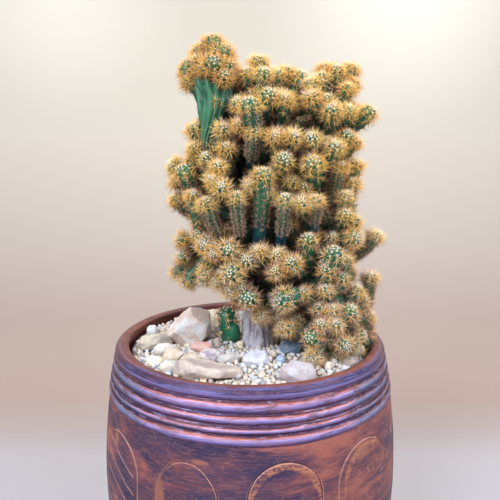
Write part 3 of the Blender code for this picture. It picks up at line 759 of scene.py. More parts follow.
colour = clay.mix(clay.attribute("scratched") * (fine_strokes * 1.6), colour, (0.520, 0.260, 0.210))
lip_share = (1 - clay.rise(radius, RIM_R - 2.5 * MM, RIM_R - 1.7 * MM)) * clay.rise(z_wire, 0.1, 0.11)
lip = clay.mix(clay.rise(strokes, 0.40, 0.64), (0.110, 0.040, 0.038), (0.245, 0.078, 0.058))
inside = 1 - clay.rise(radius, RIM_R - 7.5 * MM, RIM_R - 6.0 * MM)
lip = clay.mix(inside, lip, (0.075, 0.026, 0.020))
colour = clay.mix(lip_share, colour, lip)
clay.paint("Base Color", colour)
shine = band_share * (1 - lip_share)
clay.paint("Metallic", shine * 0.35)
clay.paint("Roughness", 0.46 - shine * 0.10 + fine_strokes * 0.16)
clay.bump(fine_strokes * 0.7 + speckle * 0.35 + strokes * 0.5, 0.40 * MM, 0.8)
finish_piece(pot, "turned_pot", clay, ("pot",))

# %% [markdown]
# ## Soil and grit
# The soil is hidden. On it lies pale crushed stone, from coarse sand up to pea size.
# A few pebbles are modelled from rounded cubes and stamped thousands of times, each turned its own way.

# %% The soil's finish
soil_finish = Finish("dark_potting_soil", {"Roughness": 0.95})
crumbs = soil_finish.noise(900, 4)
soil_finish.paint("Base Color", soil_finish.mix(crumbs, (0.020, 0.012, 0.008), (0.085, 0.055, 0.038)))
soil_finish.bump(crumbs, 1.0 * MM)
soil_node = frame["nodes"]["potting_soil"]
soil_node.data.materials.clear()
soil_node.data.materials.append(soil_finish.material)

# %% Copying a shape as one mesh
def stamp(name, shape, places, frames, tones, smooth=True):
    """Copies a small modelled shape to many places, as one mesh.

    frames holds three scaled directions for each copy, and tones the numbers that its finish reads.
    """
    corners = np.array([vert.co for vert in shape.vertices])
    faces = np.array([tuple(face.vertices) for face in shape.polygons])
    points = np.einsum("nij,vi->nvj", frames, corners) + places[:, None, :]
    shifts = np.arange(len(places))[:, None, None] * len(corners)
    mesh = bpy.data.meshes.new(name)
    all_points = points.reshape(-1, 3).astype(np.float32)
    all_faces = (faces[None, :, :] + shifts).reshape(-1, faces.shape[1]).astype(np.int32)
    mesh.vertices.add(len(all_points))
    mesh.vertices.foreach_set("co", all_points.ravel())
    mesh.loops.add(all_faces.size)
    mesh.loops.foreach_set("vertex_index", all_faces.ravel())
    mesh.polygons.add(len(all_faces))
    mesh.polygons.foreach_set("loop_start", np.arange(0, all_faces.size, faces.shape[1], dtype=np.int32))
    mesh.update(calc_edges=True)
    if smooth:
        mesh.shade_smooth()
    for tone, values in tones.items():
        kept = mesh.attributes.new(tone, "FLOAT", "POINT")
        spread_out = values if values.ndim == 2 else np.repeat(values[:, None], len(corners), axis=1)
        kept.data.foreach_set("value", spread_out.ravel().astype(np.float32))
    return new_piece(name, mesh)


def random_frames(dice, sizes, flatness):
    """Three scaled directions for each copy, turned at random and flattened a little."""
    frames = np.zeros((len(sizes), 3, 3))
    for k, size in enumerate(sizes):
        axis = Vector((dice.gauss(0, 1), dice.gauss(0, 1), dice.gauss(0, 1))).normalized()
        turned_by = Matrix.Rotation(dice.uniform(0, 2 * math.pi), 3, axis)
        squeeze = (1.0, dice.uniform(*flatness), dice.uniform(*flatness))
        for i in range(3):
            frames[k, i] = np.array(turned_by.col[i]) * size * squeeze[i]
    return frames


# %% Where the bed lies
GRIT_EDGE = RIM_Z - 6.5 * MM
GRIT_MOUND = 1.5 * MM
SOIL_TOP = RIM_Z - 14 * MM
GRIT_REACH = barrel_radius(RIM_Z) - WALL - 1.2 * MM
BED_FOOT = SOIL_TOP + 0.4 * MM
BED_STEPS, BED_TURNS = 40, 120


def grit_height(x, y):
    """Mean height of the grit, a low mound."""
    out = math.hypot(x, y) / (barrel_radius(GRIT_EDGE) - WALL)
    return GRIT_EDGE + GRIT_MOUND * (1 - out * out)


bed_radii = [GRIT_REACH * k / BED_STEPS for k in range(BED_STEPS + 1)]
bed_chain = [(reach, grit_height(reach, 0) - MM) for reach in bed_radii]
bed_chain += [(GRIT_REACH, BED_FOOT), (0.0, BED_FOOT)]
bed = turned(bed_chain, BED_TURNS)
roughen(bed, 2.2 * MM, 1.0 * MM)
bed.data.shade_smooth()
print("bed:", triangle_count(bed), "triangles")

# %% Pebble shapes
PEBBLE_KINDS = 6
PEBBLE_SIZE, CRUMB_SIZE = 1.6, 1.3
PEBBLE_KNOCKS, CRUMB_KNOCKS = (0.80, 1.12), (0.70, 1.15)


def model_grain(seed, size, knocks, rounded):
    """A cube with its corners knocked out of place. A rounded one is cut finer and cast first."""
    dice = random.Random(seed)
    bpy.ops.mesh.primitive_cube_add(size=size)
    made = bpy.context.object
    if rounded:
        edit_all(made)
        bpy.ops.mesh.subdivide(number_cuts=1)
        clear_choice()
        shape_with(made, "CAST", factor=0.45, radius=1.0, size=0, use_radius_as_size=False)
    for vert in made.data.vertices:
        vert.co *= dice.uniform(*knocks)
    return mesh_alone(made)


pebbles = [model_grain(seed, PEBBLE_SIZE, PEBBLE_KNOCKS, True) for seed in range(PEBBLE_KINDS)]
crumbs_of_stone = [model_grain(seed, CRUMB_SIZE, CRUMB_KNOCKS, False) for seed in range(PEBBLE_KINDS)]
print("pebble faces:", len(pebbles[0].polygons), "and crumb faces:", len(crumbs_of_stone[0].polygons))

# %% [markdown]
# Coarse stones are laid first and the finest last, so that small ones find the gaps. Each needs a place
# that is clear of the large stones, of the trunk and of the stones already laid.

# %% Scattering the grit
GRIT_SIZES = ((80, 2.1, 2.8), (950, 1.3, 1.9), (2100, 0.8, 1.25))
TRIES_A_STONE = 12
NOT_STONES = ("pot", "potting_soil", "gravel_bed", "cactus_branches", "corky_trunk", "basal_offset")
STONE_SHARE = 0.86
CLOSENESS = 0.74
OFFSET_CLEAR = 5 * MM
FINE_GRIT = 1.4 * MM
stone_nodes = [node for node in frame["nodes"] if node not in NOT_STONES]
dice = random.Random(21)
kept_clear = []
for node in stone_nodes + ["corky_trunk", "basal_offset"]:
    low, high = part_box(node)
    middle = (low + high) / 2
    kept_clear.append((middle.x, middle.y, (high.x - low.x) / 2, (high.y - low.y) / 2))
kept_clear = np.array(kept_clear)
kept_clear[-1, 2:] = OFFSET_CLEAR
print("places kept clear:", len(kept_clear))
laid = np.zeros((0, 3))
for wanted, least, most in GRIT_SIZES:
    added = 0
    for _ in range(wanted * TRIES_A_STONE):
        if added == wanted:
            break
        size = dice.uniform(least, most) * MM
        out = (GRIT_REACH - size) * math.sqrt(dice.random())
        turn_by = dice.uniform(0, 2 * math.pi)
        x, y = out * math.cos(turn_by), out * math.sin(turn_by)
        inside = ((x - kept_clear[:, 0]) / (kept_clear[:, 2] * STONE_SHARE)) ** 2
        inside += ((y - kept_clear[:, 1]) / (kept_clear[:, 3] * STONE_SHARE)) ** 2
        if inside.min() < 1:
            continue
        gap = np.hypot(laid[:, 0] - x, laid[:, 1] - y) - (laid[:, 2] + size) * CLOSENESS
        if len(laid) and gap.min() < 0:
            continue
        laid = np.vstack((laid, (x, y, size)))
        added += 1
    print("laid", added, "stones of", least, "to", most, "mm")
heights = np.array([grit_height(x, y) for x, y, _ in laid])
lift = np.array([dice.uniform(-0.5, 0.35) for _ in laid])
places = np.column_stack((laid[:, 0], laid[:, 1], heights - MM + laid[:, 2] * (0.62 + lift)))
frames = random_frames(dice, laid[:, 2], (0.62, 0.95))
tones = np.array([dice.random() for _ in laid])
grit_parts = []
fine = laid[:, 2] < FINE_GRIT
for k, shape in enumerate(pebbles + crumbs_of_stone):
    mine = (np.arange(len(laid)) % PEBBLE_KINDS == k % PEBBLE_KINDS) & (fine == (k >= PEBBLE_KINDS))
    grit_parts.append(stamp("grit", shape, places[mine], frames[mine], {"tone": tones[mine]}, smooth=False))
clear_choice()
for part in grit_parts:
    part.select_set(True)
bpy.context.view_layer.objects.active = grit_parts[0]
bpy.ops.object.join()
grit = bpy.context.object

# %% The finish of the grit
def grit_finish(name, loose):
    """Cream and white crushed stone. Loose stones have each a tone of their own."""
    made = Finish(name, {"Roughness": 0.72})
    grain = made.noise(1500, 3)
    tone = made.attribute("tone") if loose else made.cells(420)
    stops = (
        (0.0, (0.60, 0.63, 0.69)), (0.30, (0.61, 0.59, 0.57)), (0.52, (0.67, 0.56, 0.37)),
        (0.70, (0.74, 0.60, 0.52)), (0.84, (0.64, 0.50, 0.46)), (0.94, (0.46, 0.43, 0.47)),
        (1.0, (0.28, 0.25, 0.26)),
    )
    base = made.ramp(tone, stops)
    if not loose:
        base = made.mix(0.55, base, (0.30, 0.24, 0.19))
    made.paint("Base Color", made.mix(made.rise(grain, 0.5, 0.75) * 0.35, base, (0.45, 0.33, 0.24)))
    made.bump(grain, 0.25 * MM, 0.6)
    return made


finish_piece(bed, "grit_bed", grit_finish("packed_grit", False), ("gravel_bed",))
finish_piece(grit, "loose_grit", grit_finish("loose_grit", True))

# %% [markdown]
# ## The stones
# Each stone is a worn lump with a few flat breaks. The node's own hull gives its size and its flats.
# A copy of the hull is covered with small cells, rubbed smooth at its edges and pitted. Some hulls are
# widened first. A break is a flat cut, given by a place in mm and the way that it faces.

# %% Shaping a stone
STONE_SWELLS = {
    "boulder_cream": (1.18, 1.04, 1.16), "rock_long_veined": (1.06, 1.25, 1.32),
    "slab_left": (1.25, 1.2, 1.3), "wedge_white": (1.2, 1.2, 1.25), "pebble_cream": (1.2, 1.2, 1.2),
    "wedge_tan": (1.3, 1.3, 1.3), "stone_lilac": (1.25, 1.15, 1.2), "stone_pink": (1.2, 1.2, 1.35),
    "pebble_white_front": (1.3, 1.2, 1.15), "pebble_white_rim": (1.2, 1.2, 1.2),
    "stone_grey_long": (1.2, 1.2, 1.2), "pebble_yellow": (1.15, 1.15, 1.1),
    "slate_by_trunk": (1.25, 1.1, 1.25),
}
BREAKS = {
    "boulder_cream": (((-44, 0, 159.5), (-0.73, -0.15, 0.68)), ((-29, 0, 162.4), (0.50, -0.2, 0.84))),
    "rock_long_veined": (((-22, -50, 152.2), (0.10, 0.16, 0.98)), ((-5, -50, 150), (0.55, -0.1, 0.83))),
    "stone_pink": (((-28, -18, 151.5), (0.1, -0.3, 0.95)),),
    "cobble_bluewhite": (((3, -34, 151.5), (0.0, -0.25, 0.97)),),
    "slate_by_trunk": (((24, -20, 151), (-0.3, -0.45, 0.84)),),
}
STONE_CELL, STONE_CELLS = 0.42 * MM, 42
STONE_RUBS = 4
PIT_DEPTH, PIT_SIZE = 0.022, 0.10


def copy_of_node(node):
    """A copy of a node's mesh with its doubled corners merged, left in edit mode with all selected."""
    made = new_piece(node + "_worn", frame["nodes"][node].data.copy())
    edit_all(made)
    bpy.ops.mesh.remove_doubles(threshold=0.01 * MM)
    return made


def model_stone(node):
    """A worn copy of a node's hull, with small cells, rubbed edges and pits."""
    made = copy_of_node(node)
    low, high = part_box(node)
    longest = max(high - low)
    pits, pit_size = longest * PIT_DEPTH, longest * PIT_SIZE
    foot = Vector(((low.x + high.x) / 2, (low.y + high.y) / 2, low.z))
    bpy.ops.transform.resize(value=STONE_SWELLS.get(node, (1, 1, 1)), center_override=foot)
    for place, facing in BREAKS.get(node, ()):
        bpy.ops.mesh.select_all(action="SELECT")
        bpy.ops.mesh.bisect(plane_co=Vector(place) * MM, plane_no=facing, use_fill=True, clear_outer=True)
    clear_choice()
    shape_with(made, "REMESH", mode="VOXEL", voxel_size=max(STONE_CELL, longest / STONE_CELLS))
    shape_with(made, "SMOOTH", factor=0.5, iterations=STONE_RUBS)
    roughen(made, pit_size * 4, pits * 2, detail=1)
    roughen(made, pit_size, pits, level=0.55, detail=3)
    made.data.shade_smooth()
    return made


# %% [markdown]
# Stones differ in their main colour, in a second one that lies in soft patches, and in a third one
# that runs in thin veins or sits in pits. So one recipe with three colours serves them all.

# %% The finish of a stone
def stone_finish(name, main, patch, vein, patch_size, veins, pits):
    """A stone of three colours. Sizes are in mm, and the shares go from 0 to 1."""
    made = Finish(name, {"Roughness": 0.68})
    broad = made.noise(1000 / patch_size, 4, (1, 1, 1), 0.6, 0.5)
    fine = made.noise(1400, 4, (1, 1, 1), 0.65)
    wander = made.noise(2200 / patch_size, 5, (1, 1, 1.6), 0.6, 1.4)
    colour = made.mix(made.rise(broad, 0.42, 0.62), main, patch)
    thread = 1 - made.rise(abs(wander - 0.5), 0.0, 0.045)
    colour = made.mix(thread * veins, colour, vein)
    colour = made.mix(made.rise(fine, 0.56, 0.72) * pits, colour, vein)
    made.paint("Base Color", colour)
    made.bump(fine + broad * 0.6, 0.35 * MM, 0.6)
    return made


CREAM, WHITE = (0.78, 0.66, 0.53), (0.80, 0.78, 0.78)
TAN, LILAC = (0.56, 0.40, 0.28), (0.40, 0.30, 0.42)
GREY, SLATE, PURPLE = (0.42, 0.36, 0.33), (0.16, 0.24, 0.33), (0.34, 0.24, 0.26)
STONE_LIGHT = 0.82
STONE_LOOKS = {
    "boulder_cream": ("cream_stone", (0.86, 0.64, 0.54), (0.88, 0.87, 0.87), (0.34, 0.23, 0.19), 9, 0.4, 0.5),
    "stone_cream_back": ("cream_stone", (0.80, 0.68, 0.50), WHITE, TAN, 6, 0.3, 0.3),
    "rock_long_veined": ("veined_stone", (0.86, 0.71, 0.58), (0.60, 0.45, 0.42), PURPLE, 11, 0.5, 0.12),
    "block_white": ("white_stone", (0.72, 0.67, 0.70), (0.64, 0.52, 0.54), (0.42, 0.32, 0.34), 7, 0.5, 0.2),
    "cobble_bluewhite": (
        "white_stone", (0.72, 0.74, 0.80), (0.60, 0.56, 0.66), (0.62, 0.46, 0.44), 7, 0.3, 0.15,
    ),
    # The slate by the trunk is dark blue-grey. This is partly its own colour and partly painted shade, for it
    # lies in the shade of the plant.
    "slate_by_trunk": ("slate_stone", SLATE, (0.34, 0.40, 0.46), (0.05, 0.07, 0.10), 3, 0.5, 0.4),
    "slab_left": ("cream_stone", (0.68, 0.58, 0.46), GREY, (0.36, 0.27, 0.20), 6, 0.4, 0.4),
    "pebble_white_rim": ("white_stone", (0.80, 0.82, 0.86), WHITE, (0.52, 0.52, 0.56), 4, 0.1, 0.1),
    "pebble_white_small": ("white_stone", WHITE, CREAM, GREY, 4, 0.1, 0.1),
    "wedge_white": ("white_stone", (0.82, 0.75, 0.64), WHITE, TAN, 5, 0.2, 0.2),
    "pebble_cream": ("cream_stone", CREAM, (0.74, 0.54, 0.38), GREY, 4, 0.2, 0.3),
    "pebble_yellow": ("cream_stone", (0.80, 0.68, 0.42), WHITE, TAN, 4, 0.2, 0.3),
    "pebble_white_front": ("white_stone", (0.80, 0.80, 0.79), CREAM, GREY, 5, 0.2, 0.1),
    "stone_pink": ("pink_stone", (0.84, 0.42, 0.36), (0.80, 0.56, 0.48), (0.46, 0.20, 0.16), 4, 0.3, 0.3),
    "wedge_tan": ("cream_stone", (0.66, 0.48, 0.34), CREAM, GREY, 4, 0.3, 0.4),
    "stone_lilac": ("veined_stone", (0.76, 0.68, 0.62), LILAC, GREY, 7, 0.3, 0.25),
    "stone_grey_long": ("slate_stone", (0.54, 0.49, 0.46), (0.68, 0.62, 0.55), GREY, 5, 0.3, 0.4),
    "pebble_blue": ("slate_stone", (0.38, 0.52, 0.74), (0.60, 0.66, 0.74), SLATE, 4, 0.2, 0.2),
    "pebble_pink": ("pink_stone", (0.66, 0.50, 0.46), CREAM, GREY, 4, 0.2, 0.3),
    "rock_cream_right": ("cream_stone", (0.80, 0.68, 0.46), (0.66, 0.52, 0.36), GREY, 4, 0.2, 0.3),
    "rubble_right": ("cream_stone", (0.56, 0.42, 0.34), GREY, SLATE, 4, 0.2, 0.4),
    "pebble_upright": ("white_stone", (0.66, 0.54, 0.45), GREY, TAN, 4, 0.2, 0.3),
    "stone_back_left": ("cream_stone", CREAM, GREY, TAN, 6, 0.3, 0.3),
    "stone_back_right": ("veined_stone", (0.68, 0.56, 0.46), WHITE, TAN, 6, 0.3, 0.3),
}
for node, (slot, main, patch, vein, patch_size, veins, pits) in STONE_LOOKS.items():
    stone = model_stone(node)
    main, patch = [tuple(share * STONE_LIGHT for share in tint) for tint in (main, patch)]
    finish = stone_finish(node + "_finish", main, patch, vein, patch_size, veins, pits)
    finish_piece(stone, node + "_worn", finish, (node,))

# %% [markdown]
# ## The corky trunk
# An old stem turns to cork: grey-white plates with brown furrows between them, which run upwards.
# The node's fluted column is cut into small cells and pushed in and out by stretched noise.

# %% The trunk
TRUNK_CELL = 0.75 * MM
TRUNK_RUBS = 6
PLATE_SIZE = 3.0 * MM
PLATE_TALL = 0.35
PLATE_RISE = 1.7
FURROW_DEPTH = 0.5
trunk = copy_of_node("corky_trunk")
clear_choice()
shape_with(trunk, "REMESH", mode="VOXEL", voxel_size=TRUNK_CELL)
shape_with(trunk, "SMOOTH", factor=0.5, iterations=TRUNK_RUBS)
for vert in trunk.data.vertices:
    stretched = Vector((vert.co.x, vert.co.y, vert.co.z * PLATE_TALL)) / PLATE_SIZE
    plates = noise.noise(stretched) + 0.5 * noise.noise(stretched * 2.7)
    vert.co += vert.normal * (abs(plates) * PLATE_RISE - FURROW_DEPTH) * MM
trunk.data.shade_smooth()
print("trunk:", triangle_count(trunk), "triangles")

# %% The cork's finish
bark = Finish("grey_cork", {"Roughness": 0.85})
furrows = bark.noise(330, 5, (1, 1, PLATE_TALL), 0.65, 0.8)
brown_side = bark.rise(bark.along("X") + (furrows - 0.5) * 8 * MM, 9 * MM, 15 * MM)
cork = bark.mix(bark.rise(furrows, 0.34, 0.56), (0.19, 0.145, 0.155), (0.46, 0.43, 0.48))
brown = bark.mix(bark.rise(furrows, 0.36, 0.60), (0.08, 0.045, 0.030), (0.26, 0.165, 0.105))
bark.paint("Base Color", bark.mix(brown_side, cork, brown))
bark.bump(furrows, 0.8 * MM, 0.8)
finish_piece(trunk, "cork_trunk", bark, ("corky_trunk",))

# %% [markdown]
# ## Where the heads sit
# A monstrose plant branches without order. The heads that show from the front were placed one by one on a
# drawing board that stands square before the eye, and the rest follow rules for the back and the crown.

# %% The heads in front
BOARD_DISTANCE = 300 * MM
MASS_MIDDLE = 12
MASS_HALF_WIDTH = 66
MASS_FRONT = -30
HEAD_PLUMP = 1.3
AHEAD = Vector((0, math.cos(EYE_DIP), -math.sin(EYE_DIP)))
ABOVE = Vector((0, math.sin(EYE_DIP), math.cos(EYE_DIP)))
FRONT_HEADS = (
    (-22, 123, 5.8, 20), (-29, 118, 5.2, 20), (-16, 118, 5.6, 18), (-22, 111, 5.8, 10),
    (-36, 108, 6.2, 14), (-36, 101, 4.6, 12), (-16, 104, 4.8, 12), (-10, 101, 4.4, 22),
    (-2, 105, 4.8, 20), (5, 112, 5.0, 26), (8, 105, 5.0, 14), (22, 106, 4.4, 26),
    (11, 92, 5.8, 8), (0, 86, 6.6, 0), (21, 90, 4.6, 6), (36, 99, 4.6, 18),
    (37, 91, 5.0, 6), (45, 108, 4.4, 26), (43, 103, 4.2, 20), (52, 107, 4.4, 20),
    (60, 107, 4.8, 24), (58, 96, 4.4, 14), (49, 83, 5.6, 2), (59, 83, 4.6, 8),
    (71, 82, 5.2, 4), (-6, 75, 4.2, 4), (-33, 72, 4.8, 12), (-33, 61, 4.4, 10),
    (-16, 72, 4.6, 6), (2, 71, 4.8, 4), (-14, 61, 4.6, 6), (15, 68, 4.4, 2),
    (26, 68, 4.4, 2), (37, 67, 4.4, 2), (58, 68, 5.0, 4), (51, 61, 5.4, 0),
    (-26, 55, 4.4, 6), (-19, 50, 4.4, 2), (-39, 46, 6.6, 4), (-22, 42, 4.4, 0),
    (-17, 37, 5.2, -2), (8, 44, 6.2, 0), (20, 54, 5.4, 0), (38, 51, 6.6, -2),
    (54, 49, 4.4, 4), (63, 50, 4.4, 8), (-34, 32, 4.6, 2), (-44, 30, 4.4, 10),
    (-26, 27, 5.6, -2), (-8, 31, 4.8, 0), (1, 39, 4.0, 2), (10, 35, 4.4, 2),
    (21, 30, 4.8, 0), (31, 28, 4.8, 0), (39, 29, 4.8, 2), (61, 39, 4.8, 6),
    (57, 32, 4.4, 4), (24, 17, 4.4, 12), (57, 21, 4.8, 4), (35, 6, 5.2, 4),
    (62, 7, 5.8, 2), (75, 8, 4.2, 2), (-41, 6, 4.4, 8), (-27, 3, 5.2, 2),
    (-22, -2, 4.4, 0), (-13, 0, 5.8, -2), (-2, -6, 4.8, 0), (5, -1, 4.4, 2),
    (16, -3, 4.4, 4), (-40, -4, 4.4, 8), (-43, -14, 4.4, 10), (-37, -19, 4.6, 8),
    (-26, -14, 4.8, 2), (-11, -14, 6.6, -4), (-5, -23, 4.2, 2), (16, -13, 5.2, 0),
    (25, -8, 5.6, -2), (50, -3, 6.6, -6), (46, -12, 4.8, -4), (57, -7, 4.8, 0),
    (54, -17, 4.8, -2), (45, -24, 4.8, -2), (63, -25, 4.8, 0), (72, -17, 4.4, 4),
    (-1, -29, 6.2, -2), (20, -30, 7.2, -6), (32, -26, 4.6, 0), (41, -35, 5.0, 0),
    (29, -42, 4.4, 6), (51, -45, 5.0, -9), (60, -37, 5.6, -10), (70, -40, 4.6, -3),
    (37, -53, 6.0, -9), (38, -65, 4.6, -13), (57, -57, 4.8, -15), (66, -51, 4.4, -7),
    (-45, 50, 4.8, 10), (-44, 41, 4.4, 10), (-19, -19, 4.4, 2), (-12, -24, 4.4, 2), (-7, -28, 4.2, 6),
    (61, 99, 4.2, 20), (62, 64, 4.6, 8), (63, 17, 4.4, 6), (71, -45, 4.2, 0), (13, 106, 4.2, 26),
)


def slid_to_depth(across, up, depth):
    """The point seen at a place on the drawing board, moved along its sight line to a depth."""
    line = AHEAD * BOARD_DISTANCE + Vector((1, 0, 0)) * across * MM + ABOVE * up * MM
    return EYE + line * ((depth - EYE.y) / line.y)


def placed_on_board(rows, swollen=()):
    """Places and radii of heads from the drawing board. The last number of a row pushes its head back."""
    made = []
    for index, (across, up, size, extra) in enumerate(rows):
        if index in swollen:
            size *= HOOD_SWELL
        round_off = math.sqrt(max(0.0, 1 - ((across - MASS_MIDDLE) / MASS_HALF_WIDTH) ** 2))
        depth = (MASS_FRONT * round_off + extra) * MM
        nearness = (depth - EYE.y) / -EYE.y
        made.append((slid_to_depth(across, up, depth), size * MM * nearness * HEAD_PLUMP))
    return made


HOOD_HEADS = range(8)
HOOD_SWELL = 1.12
heads = placed_on_board(FRONT_HEADS, HOOD_HEADS)
print("heads in front:", len(heads))

# %% The heads at the back and on the crown
BACK_HEADS, BACK_TRIES = 64, 6000
BACK_LOW, BACK_HIGH, BACK_TURN = 186, 304, 112
BACK_DEPTH = 35 * MM
BACK_RADII = (5.0, 7.2)
HEAD_SPACING = 12 * MM
CROWN_HEADS, CROWN_TRIES = 16, 3000
CROWN_MIDDLE = (16, 4, 297)
CROWN_HALF = (48, 24)
CROWN_FALL = 9
CROWN_RADII = (4.8, 6.4)


def clear_of_heads(centre, heads):
    """True where a new head's middle keeps its distance from all the others."""
    return all((centre - other).length > HEAD_SPACING for other, _ in heads)


def back_heads(taken):
    """Heads over the sides and the back, each clear of its neighbours."""
    dice = random.Random(5)
    made = []
    for _ in range(BACK_TRIES):
        if len(made) == BACK_HEADS:
            break
        z = dice.uniform(BACK_LOW, BACK_HIGH)
        turn = math.radians(dice.uniform(-BACK_TURN, BACK_TURN))
        swell = (z - 188) / 112
        middle, half = (12 + 4 * swell) * MM, (58 - 12 * swell * swell) * MM
        rise = (z - BACK_LOW) / (BACK_HIGH - BACK_LOW)
        deep = BACK_DEPTH * (0.82 + 0.3 * math.sin(math.pi * rise)) * (1 - 0.35 * rise ** 3)
        centre = Vector((middle + half * math.sin(turn), deep * math.cos(turn), z * MM))
        radius = dice.uniform(*BACK_RADII) * MM
        if clear_of_heads(centre, taken + made):
            made.append((centre, radius))
    return made


def crown_heads(taken):
    """Heads over the top, which the front row half hides."""
    dice = random.Random(8)
    made = []
    for _ in range(CROWN_TRIES):
        if len(made) == CROWN_HEADS:
            break
        spread = math.sqrt(dice.random())
        turn = dice.uniform(0, 2 * math.pi)
        x = CROWN_MIDDLE[0] + CROWN_HALF[0] * spread * math.sin(turn)
        y = CROWN_MIDDLE[1] + CROWN_HALF[1] * spread * math.cos(turn)
        centre = Vector((x, y, CROWN_MIDDLE[2] - CROWN_FALL * spread * spread)) * MM
        radius = dice.uniform(*CROWN_RADII) * MM
        if clear_of_heads(centre, taken + made):
            made.append((centre, radius))
    return made


def on_board(point):
    """Where a point is seen on the drawing board."""
    way = (point - EYE) * (BOARD_DISTANCE / MM / (point - EYE).dot(AHEAD))
    return way.x, way.dot(ABOVE)


# %% [markdown]
# The outline that is seen from the front must stay as it was drawn. So the heads behind are moved
# sideways on the board until they lie within it.

# %% Keeping to the outline
OUTLINE_UP = (-70, -45, -28, -20, -10, -2, 8, 20, 30, 45, 56, 75, 84, 92, 100, 110, 120)
OUTLINE_LEFT = (20, 10, -5, -32, -36, -35, -33, -30, -36, -38, -33, -28, -20, -20, -30, -32, -28)
OUTLINE_RIGHT = (60, 64, 63, 64, 54, 56, 62, 57, 56, 57, 56, 58, 62, 56, 57, 54, -16)


def kept_in_outline(found):
    """Heads moved sideways until none breaks the outline that is seen from the front."""
    for centre, _ in found:
        across, up = on_board(centre)
        left, right = np.interp(up, OUTLINE_UP, OUTLINE_LEFT), np.interp(up, OUTLINE_UP, OUTLINE_RIGHT)
        centre.x += (min(max(across, left), right) - across) * MM * (centre - EYE).length / BOARD_DISTANCE
    return found


heads += kept_in_outline(back_heads(heads))
heads += kept_in_outline(crown_heads(heads))
print("heads:", len(heads))

# %% [markdown]
# Stout stems fork from the trunk inside the mass. Each row gives a place in mm and a radius there.

# %% The stout stems
LIMBS = {
    "left": ((5, 0, 176, 9), (-7, 0, 204, 14), (-14, 2, 236, 15), (-18, 4, 262, 11), (-20, 5, 280, 7)),
    "crest": ((-22, -4, 258, 5), (-23, -8, 284, 6), (-22, -6, 303, 9)),
    "middle": ((6, 0, 176, 10), (9, 2, 208, 18), (12, 3, 244, 19), (15, 4, 276, 14), (15, 4, 294, 8)),
    "middle left": ((10, 0, 254, 10), (2, 0, 284, 9), (3, 3, 301, 6)),
    "right": ((9, 0, 178, 10), (28, 0, 206, 17), (39, 2, 236, 18), (46, 3, 270, 14), (49, 2, 296, 7)),
    "low right": (
        (12, -4, 190, 10), (34, -11, 190, 15), (46, -17, 178, 13), (48, -20, 166, 11), (48, -21, 157, 8),
    ),
    "far right": ((28, -2, 196, 12), (47, -4, 212, 14), (55, -4, 232, 9)),
    "low left": ((2, 0, 192, 10), (-16, -2, 206, 13), (-28, -2, 210, 9)),
    "back left": ((4, 3, 186, 9), (0, 9, 220, 15), (3, 11, 256, 14), (6, 9, 284, 8)),
    "back right": ((12, 4, 188, 9), (26, 10, 224, 15), (31, 11, 262, 14), (33, 9, 286, 8)),
}
HEAD_CLIMB = 13 * MM
limb_points = []
for route in LIMBS.values():
    for a, b in zip(route, route[1:]):
        for k in range(6):
            mixed = [p + (q - p) * k / 6 for p, q in zip(a, b)]
            limb_points.append((Vector(mixed[:3]) * MM, mixed[3] * MM))
    limb_points.append((Vector(route[-1][:3]) * MM, route[-1][3] * MM))
print("stout stems:", len(LIMBS))


def stem_root(centre):
    """The place on a stout stem from which a head's own stem rises."""
    lowered = centre - Vector((0, 0, HEAD_CLIMB))
    return min(limb_points, key=lambda item: (item[0] - lowered).length - item[1] * 0.6)[0]


# %% [markdown]
# Smaller heads fill the space between. They grow straight from the stout stems, except in the few deep
# hollows and before the bare fan of the crest.

# %% Heads that fill the mass
FILL_HEADS, FILL_TRIES = 118, 16000
FILL_SPACING = 9.6 * MM
FILL_RADII = (4.6, 6.0)
LIMB_SLIM = 0.74
HOLLOWS = (
    (-8, 54, 6, 12), (32, 82, 9, 5), (-9, 20, 4, 7), (17, 20, 5, 6), (44, 14, 6, 6), (-22, 88, 9, 20),
    (38, 19, 6, 9), (53, 19, 7, 9), (25, 4, 5, 6), (38, -18, 4, 8), (7, -22, 5, 8), (10, -31, 5, 5),
)


def in_hollow(point):
    """True where a point in the front half would close one of the hollows."""
    across, up = on_board(point)
    inside = any(((across - a) / w) ** 2 + ((up - b) / h) ** 2 < 1 for a, b, w, h in HOLLOWS)
    return inside and point.y < 12 * MM


def fill_heads(taken):
    """Small heads straight on the stout stems, each clear of its neighbours."""
    dice = random.Random(12)
    made = []
    stout = [item for item in limb_points if 184 * MM < item[0].z < 290 * MM]
    stout += [item for item in limb_points if item[0].z < 184 * MM and item[0].x > 28 * MM] * 2
    for _ in range(FILL_TRIES):
        if len(made) == FILL_HEADS:
            break
        place, reach = dice.choice(stout)
        turn = dice.uniform(0, 2 * math.pi)
        way = Vector((math.cos(turn), math.sin(turn), dice.uniform(-0.25, 0.75))).normalized()
        centre = place + way * (reach * LIMB_SLIM + dice.uniform(2, 7) * MM)
        radius = dice.uniform(*FILL_RADII) * MM
        deep = any((centre - other).length < wide * 0.8 for other, wide in limb_points)
        near = any((centre - other).length < FILL_SPACING for other, _ in taken + made)
        if not deep and not near and not in_hollow(centre):
            made.append((centre, radius))
    return made


# %% [markdown]
# A few more heads are listed one by one: low ones under the mass, some in the hood and some that close the
# gaps through which the room behind would show.

